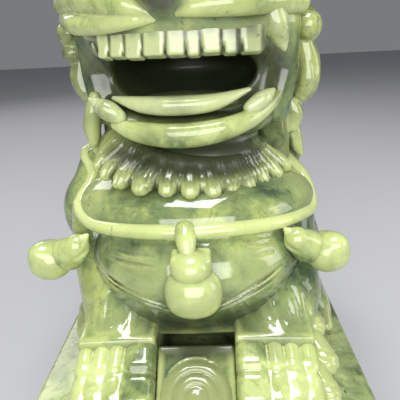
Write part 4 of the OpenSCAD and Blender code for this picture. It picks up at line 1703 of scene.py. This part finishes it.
@dataclass
class Face:
    """Nose, eyes, brows and ears."""

    shop: Workshop

    def build(self) -> None:
        """Carves the nose, then each side's eye, brow and ear."""
        clay = Clay((-18, -36, 10), (18, -6, 40), FINE)
        clay.add(Ball((0, -25.5, 20.5), (7, 6.5, 5.4)))
        clay.add(Rope(((0, -23, 23), (0, -18, 31)), (5.5, 4.6)), blend=2.5)
        clay.add(Ball((0, -21, 13.5), (3.6, 3.6, 4.5)), blend=2)
        for side in Side:
            s = side.value
            clay.add(Ball((s * 7, -23.5, 20), (5, 5.2, 4.2)), blend=1.6)
            clay.cut(Ball((s * 4.6, -29.5, 17), (1.9, 3.2, 1.5)), blend=0.8)
        clay.press(Block((0, -20, 29), (8, 8, 7)), lines((0, 0.5, 1), 3.0, 0.6), 1.5)
        # Painted shade on the nose's underside.
        self.shop.carve("nose", clay, HEAD, Rock.RAISED, (Wash(Ball((0, -23, 12), (5, 5, 4)), -1.0, 4),))
        for side in Side:
            self.eye(side)
            self.brow(side)
            self.ear(side)

    def eye(self, side: Side) -> None:
        """Carves one bulging eye with its lids and a drilled pupil.

        Args:
            side: Which of the lion's sides.
        """
        s = side.value
        low, high = sorted((s * 4, s * 26))
        clay = Clay((low, -32, 14), (high, -6, 36), FINE)
        at = (s * 14.5, -18.5, 26)
        clay.add(Ball(at, (5.6, 5.6, 5.0)))
        clay.add(curve(((s * 8, -20, 24.5), (s * 12, -24.5, 22), (s * 18, -23, 22), (s * 22, -16, 25)),
                       (1.0, 1.5, 1.5, 1.0)), blend=0.5)
        clay.add(curve(((s * 8, -20, 26.5), (s * 12, -23.5, 30.5), (s * 18, -22, 30.5),
                        (s * 22.5, -15.5, 27)),
                       (1.0, 1.7, 1.7, 1.0)), blend=0.5)
        clay.cut(Ball((s * 15, -25, 26), (1.9, 1.8, 1.9)), blend=0.5)
        self.shop.carve(f"{side.word}_eye", clay, HEAD, Rock.RAISED)

    def brow(self, side: Side) -> None:
        """Carves one eyebrow of curled locks.

        Args:
            side: Which of the lion's sides.
        """
        s = side.value
        low, high = sorted((s * 1, s * 36))
        clay = Clay((low, -30, 24), (high, 4, 44), FINE)
        for x, y, z, r in ((6, -20, 33, 4.0), (13, -20, 35, 4.6), (20.5, -15.5, 35.5, 4.6),
                           (27, -9, 34, 4.2)):
            at = (s * x, y, z)
            clay.add(Ball(at, (r, r, r * 0.9)), blend=0.8)
            clay.press(Ball(at, (r + 1, r + 1, r + 1)), spiral(at, (s * x, y - 2, 8), 2.4, 0.6, s), 0.8)
        self.shop.carve(f"{side.word}_eyebrow", clay, HEAD, Rock.RAISED)

    def ear(self, side: Side) -> None:
        """Carves one cupped ear.

        Args:
            side: Which of the lion's sides.
        """
        s = side.value
        low, high = sorted((s * 24, s * 44))
        clay = Clay((low, -8, 8), (high, 26, 40), FINE)
        clay.add(curve(((s * 29, 4, 22), (s * 34, 8, 27), (s * 36.5, 13, 32)), (5.5, 5.2, 1.6),
                       flat=(0.7, 1, 1)))
        clay.add(curve(((s * 34, 8, 24), (s * 36, 15, 20), (s * 34, 19, 13)), (4.2, 4.0, 2.0),
                       flat=(0.7, 1, 1)),
                 blend=2)
        clay.cut(curve(((s * 36, 6, 27), (s * 38.5, 12, 25), (s * 37.5, 17, 18)), (1.8, 2.4, 1.0)),
                 blend=1.2)
        self.shop.carve(f"{side.word}_ear", clay, HEAD, Rock.RAISED)


@dataclass
class Mane:
    """Locks beside the face and rows of snail curls behind it."""

    shop: Workshop
    curl: float = 7

    def build(self) -> None:
        """Carves locks and curls."""
        for side in Side:
            self.lock(side)
        side_places = [(104 + 25 * i + 8 * (row % 2), -44 + 23 * row) for row in range(4) for i in range(2)]
        for side in Side:
            self.curls(f"{side.word}_mane_curls", [(side.value * a, up) for a, up in side_places])
        back = [(180 + 25 * (i + 0.5 * (row % 2)), -44 + 23 * row) for row in range(5) for i in (-1, 0, 1)]
        self.curls("back_mane_curls", back)
        crown = [(a, 58) for a in (-150, -105, -65, -22, 22, 65, 105, 150)] + [(0, 86)]
        self.curls("crown_curls", crown)

    def lock(self, side: Side) -> None:
        """Carves the long locks beside one cheek.

        Args:
            side: Which of the lion's sides.
        """
        s, word = side.value, side.word
        low, high = sorted((s * 24, s * 50))
        clay = Clay((low, -16, -42), (high, 26, 22), FINE)
        if side is Side.LEFT:
            clay.add(Ball((37, 6, 7), (4.6, 5.5, 4.8)))
            clay.add(curve(((36, 8, 1.6), (37.5, 8, -3.5), (37.5, 7, -10), (34, 6, -15.5)),
                           (3.8, 4.4, 4.2, 2.2), flat=(0.95, 1.3, 1)), blend=0.5)
            clay.add(curve(((32.5, 4, -15.5), (34, 4.4, -19), (33.5, 4, -23)), (2.0, 3.2, 2.2)), blend=0.3)
            clay.add(curve(((33, 7, -22), (34, 7, -27), (37, 7, -33.5)), (2.4, 3.0, 0.9)), blend=0.4)
        else:
            clay.add(Ball((-39.5, 4, 8.5), (5.0, 5.5, 4.6)))
            clay.add(Ball((-40, 5, 2.6), (4.2, 5.5, 4.2)), blend=0.5)
            clay.add(curve(((-37.5, 7, 0), (-39, 6, -5), (-37, 5, -10), (-33.5, 4, -15)),
                           (4.0, 4.4, 4.0, 2.4), flat=(0.95, 1.3, 1)), blend=0.5)
            clay.add(curve(((-28.5, -9.5, -10.5), (-30, -10, -17), (-31, -9.5, -25)), (1.8, 2.7, 1.7)),
                     blend=0.4)
            clay.add(curve(((-34, 1, -16), (-35.5, 0, -22), (-34, -2, -28)), (2.4, 3.4, 2.0)), blend=0.4)
        clay.add(curve(((s * 30, 15, 4), (s * 32.5, 15, -8), (s * 30.5, 15, -22), (s * 33, 13, -36)),
                       (5, 6, 6, 4), flat=(1, 1.3, 1)), blend=0.6)
        clay.add(limb((s * 27, 5, -14), (s * 27.5, 3, -36), 5, 5.5), blend=0.6)
        clay.press(Block((s * 36, 6, -14), (8, 14, 22)), lines((0.1, 1, 0.05), 3.4, 0.5), 1.5)
        self.shop.carve(f"{word}_mane_lock", clay, HEAD, Rock.MANE, (
            Wash(Ball((s * 36, 0, -6), (6, 8, 20)), 0.35, 6),))

    def curls(self, name: str, places: list[tuple[float, float]]) -> None:
        """Carves snail curls on the round of the mane.

        Args:
            name: The node's name.
            places: Degrees round from the face, and degrees of rise.
        """
        at = []
        for around, up in places:
            a, b = math.radians(around), math.radians(up)
            way = (math.sin(a) * math.cos(b), -math.cos(a) * math.cos(b), math.sin(b))
            at.append(((34.5 * way[0], 10 + 24.5 * way[1], 8 + 35 * way[2]), way))
        r = self.curl
        low = tuple(min(p[i] for p, _ in at) - r - 1 for i in range(3))
        high = tuple(max(p[i] for p, _ in at) + r + 1 for i in range(3))
        clay = Clay(low, high, FINE)
        for i, (p, way) in enumerate(at):
            clay.add(Ball(p, (r, r, r)))
        for i, (p, way) in enumerate(at):
            tip = tuple(p[k] + way[k] * r for k in range(3))
            clay.press(Ball(tip, (r * 0.95, r * 0.95, r * 0.95)),
                       spiral(p, way, 2.9, 1.1, 1 - 2 * (i % 2)), 0.6)
        self.shop.carve(name, clay, HEAD, Rock.MANE)


# ---------------------------------------------------------------- stage


@dataclass
class Stage:
    """Floor, lights and camera."""

    camera_at: Vec = (6.3, -134.0, 133.0)
    down: float = 21.7
    heading: float = -2.43
    roll: float = -2.98
    field_of_view: float = 53.13

    def build(self) -> None:
        """Sets the stage."""
        mesh = bpy.data.meshes.new("floor")
        size = 3.0
        mesh.from_pydata([(-size, -size, 0), (size, -size, 0), (size, size, 0), (-size, size, 0)], [],
                         [(0, 1, 2, 3)])
        floor = bpy.data.objects.new("floor", mesh)
        bpy.context.scene.collection.objects.link(floor)
        paint = bpy.data.materials.new("pale_floor")
        paint.use_nodes = True
        shader = paint.node_tree.nodes["Principled BSDF"]
        shader.inputs["Base Color"].default_value = (0.42, 0.42, 0.44, 1)
        shader.inputs["Roughness"].default_value = 0.85
        mesh.materials.append(paint)
        world = bpy.data.worlds.new("room")
        world.use_nodes = True
        world.node_tree.nodes["Background"].inputs[0].default_value = (0.80, 0.82, 0.88, 1)
        world.node_tree.nodes["Background"].inputs[1].default_value = 0.24
        bpy.context.scene.world = world
        self.light("window", (0.02, -0.85, 0.42), (0.95, 0.6), 9.5)
        self.light("ceiling", (-0.02, -0.06, 0.85), (0.38, 0.36), 6.0)
        self.light("side_fill", (0.8, -0.2, 0.32), (0.3, 0.5), 1.4)
        self.light("back_rim", (-0.5, 0.7, 0.6), (0.4, 0.4), 1.6)
        self.camera()

    @staticmethod
    def light(name: str, at: Vec, size: tuple[float, float], power: float) -> None:
        """A soft rectangular light that looks at the statue.

        Args:
            name: The light's name.
            at: Where it stands, in metres.
            size: Its width and height, in metres.
            power: In watts.
        """
        data = bpy.data.lights.new(name, "AREA")
        data.shape = "RECTANGLE"
        data.size, data.size_y = size
        data.energy = power
        lamp = bpy.data.objects.new(name, data)
        lamp.location = at
        lamp.rotation_euler = (Vector((0, 0, 0.09)) - Vector(at)).to_track_quat("-Z", "Y").to_euler()
        bpy.context.scene.collection.objects.link(lamp)

    def camera(self) -> None:
        """A camera close in front of the chest, tipped down."""
        data = bpy.data.cameras.new("camera")
        data.sensor_width = 36
        data.lens = 18 / math.tan(math.radians(self.field_of_view / 2))
        data.clip_start = 0.005
        data.clip_end = 20
        camera = bpy.data.objects.new("camera", data)
        turn = (Matrix.Rotation(math.radians(-self.heading), 4, "Z")
                @ Matrix.Rotation(math.radians(90 - self.down), 4, "X")
                @ Matrix.Rotation(math.radians(self.roll), 4, "Z"))
        camera.matrix_world = Matrix.Translation(Vector(self.camera_at) * MM) @ turn
        bpy.context.scene.collection.objects.link(camera)
        bpy.context.scene.camera = camera


def main() -> None:
    """Builds the lion piece by piece, then its stage."""
    logging.basicConfig(level=logging.INFO, format="%(name)s: %(message)s")
    bpy.context.scene.view_settings.view_transform = "Standard"
    Stage().build()
    shop = Workshop()
    shop.mix_finishes()
    parts = [Plinth(shop), Torso(shop), Tail(shop), PawWeb(shop), Harness(shop), Beard(shop), Skull(shop),
             Mouth(shop), Face(shop), Mane(shop)]
    for side in Side:
        parts += [HindLeg(shop, side), Foreleg(shop, side), Tassel(shop, side), UpperLip(shop, side)]
    for part in parts:
        part.build()
        LOG.info("%s done", type(part).__name__)
    LOG.info("%d pieces", len(shop.made))


if __name__ == "__main__":
    main()
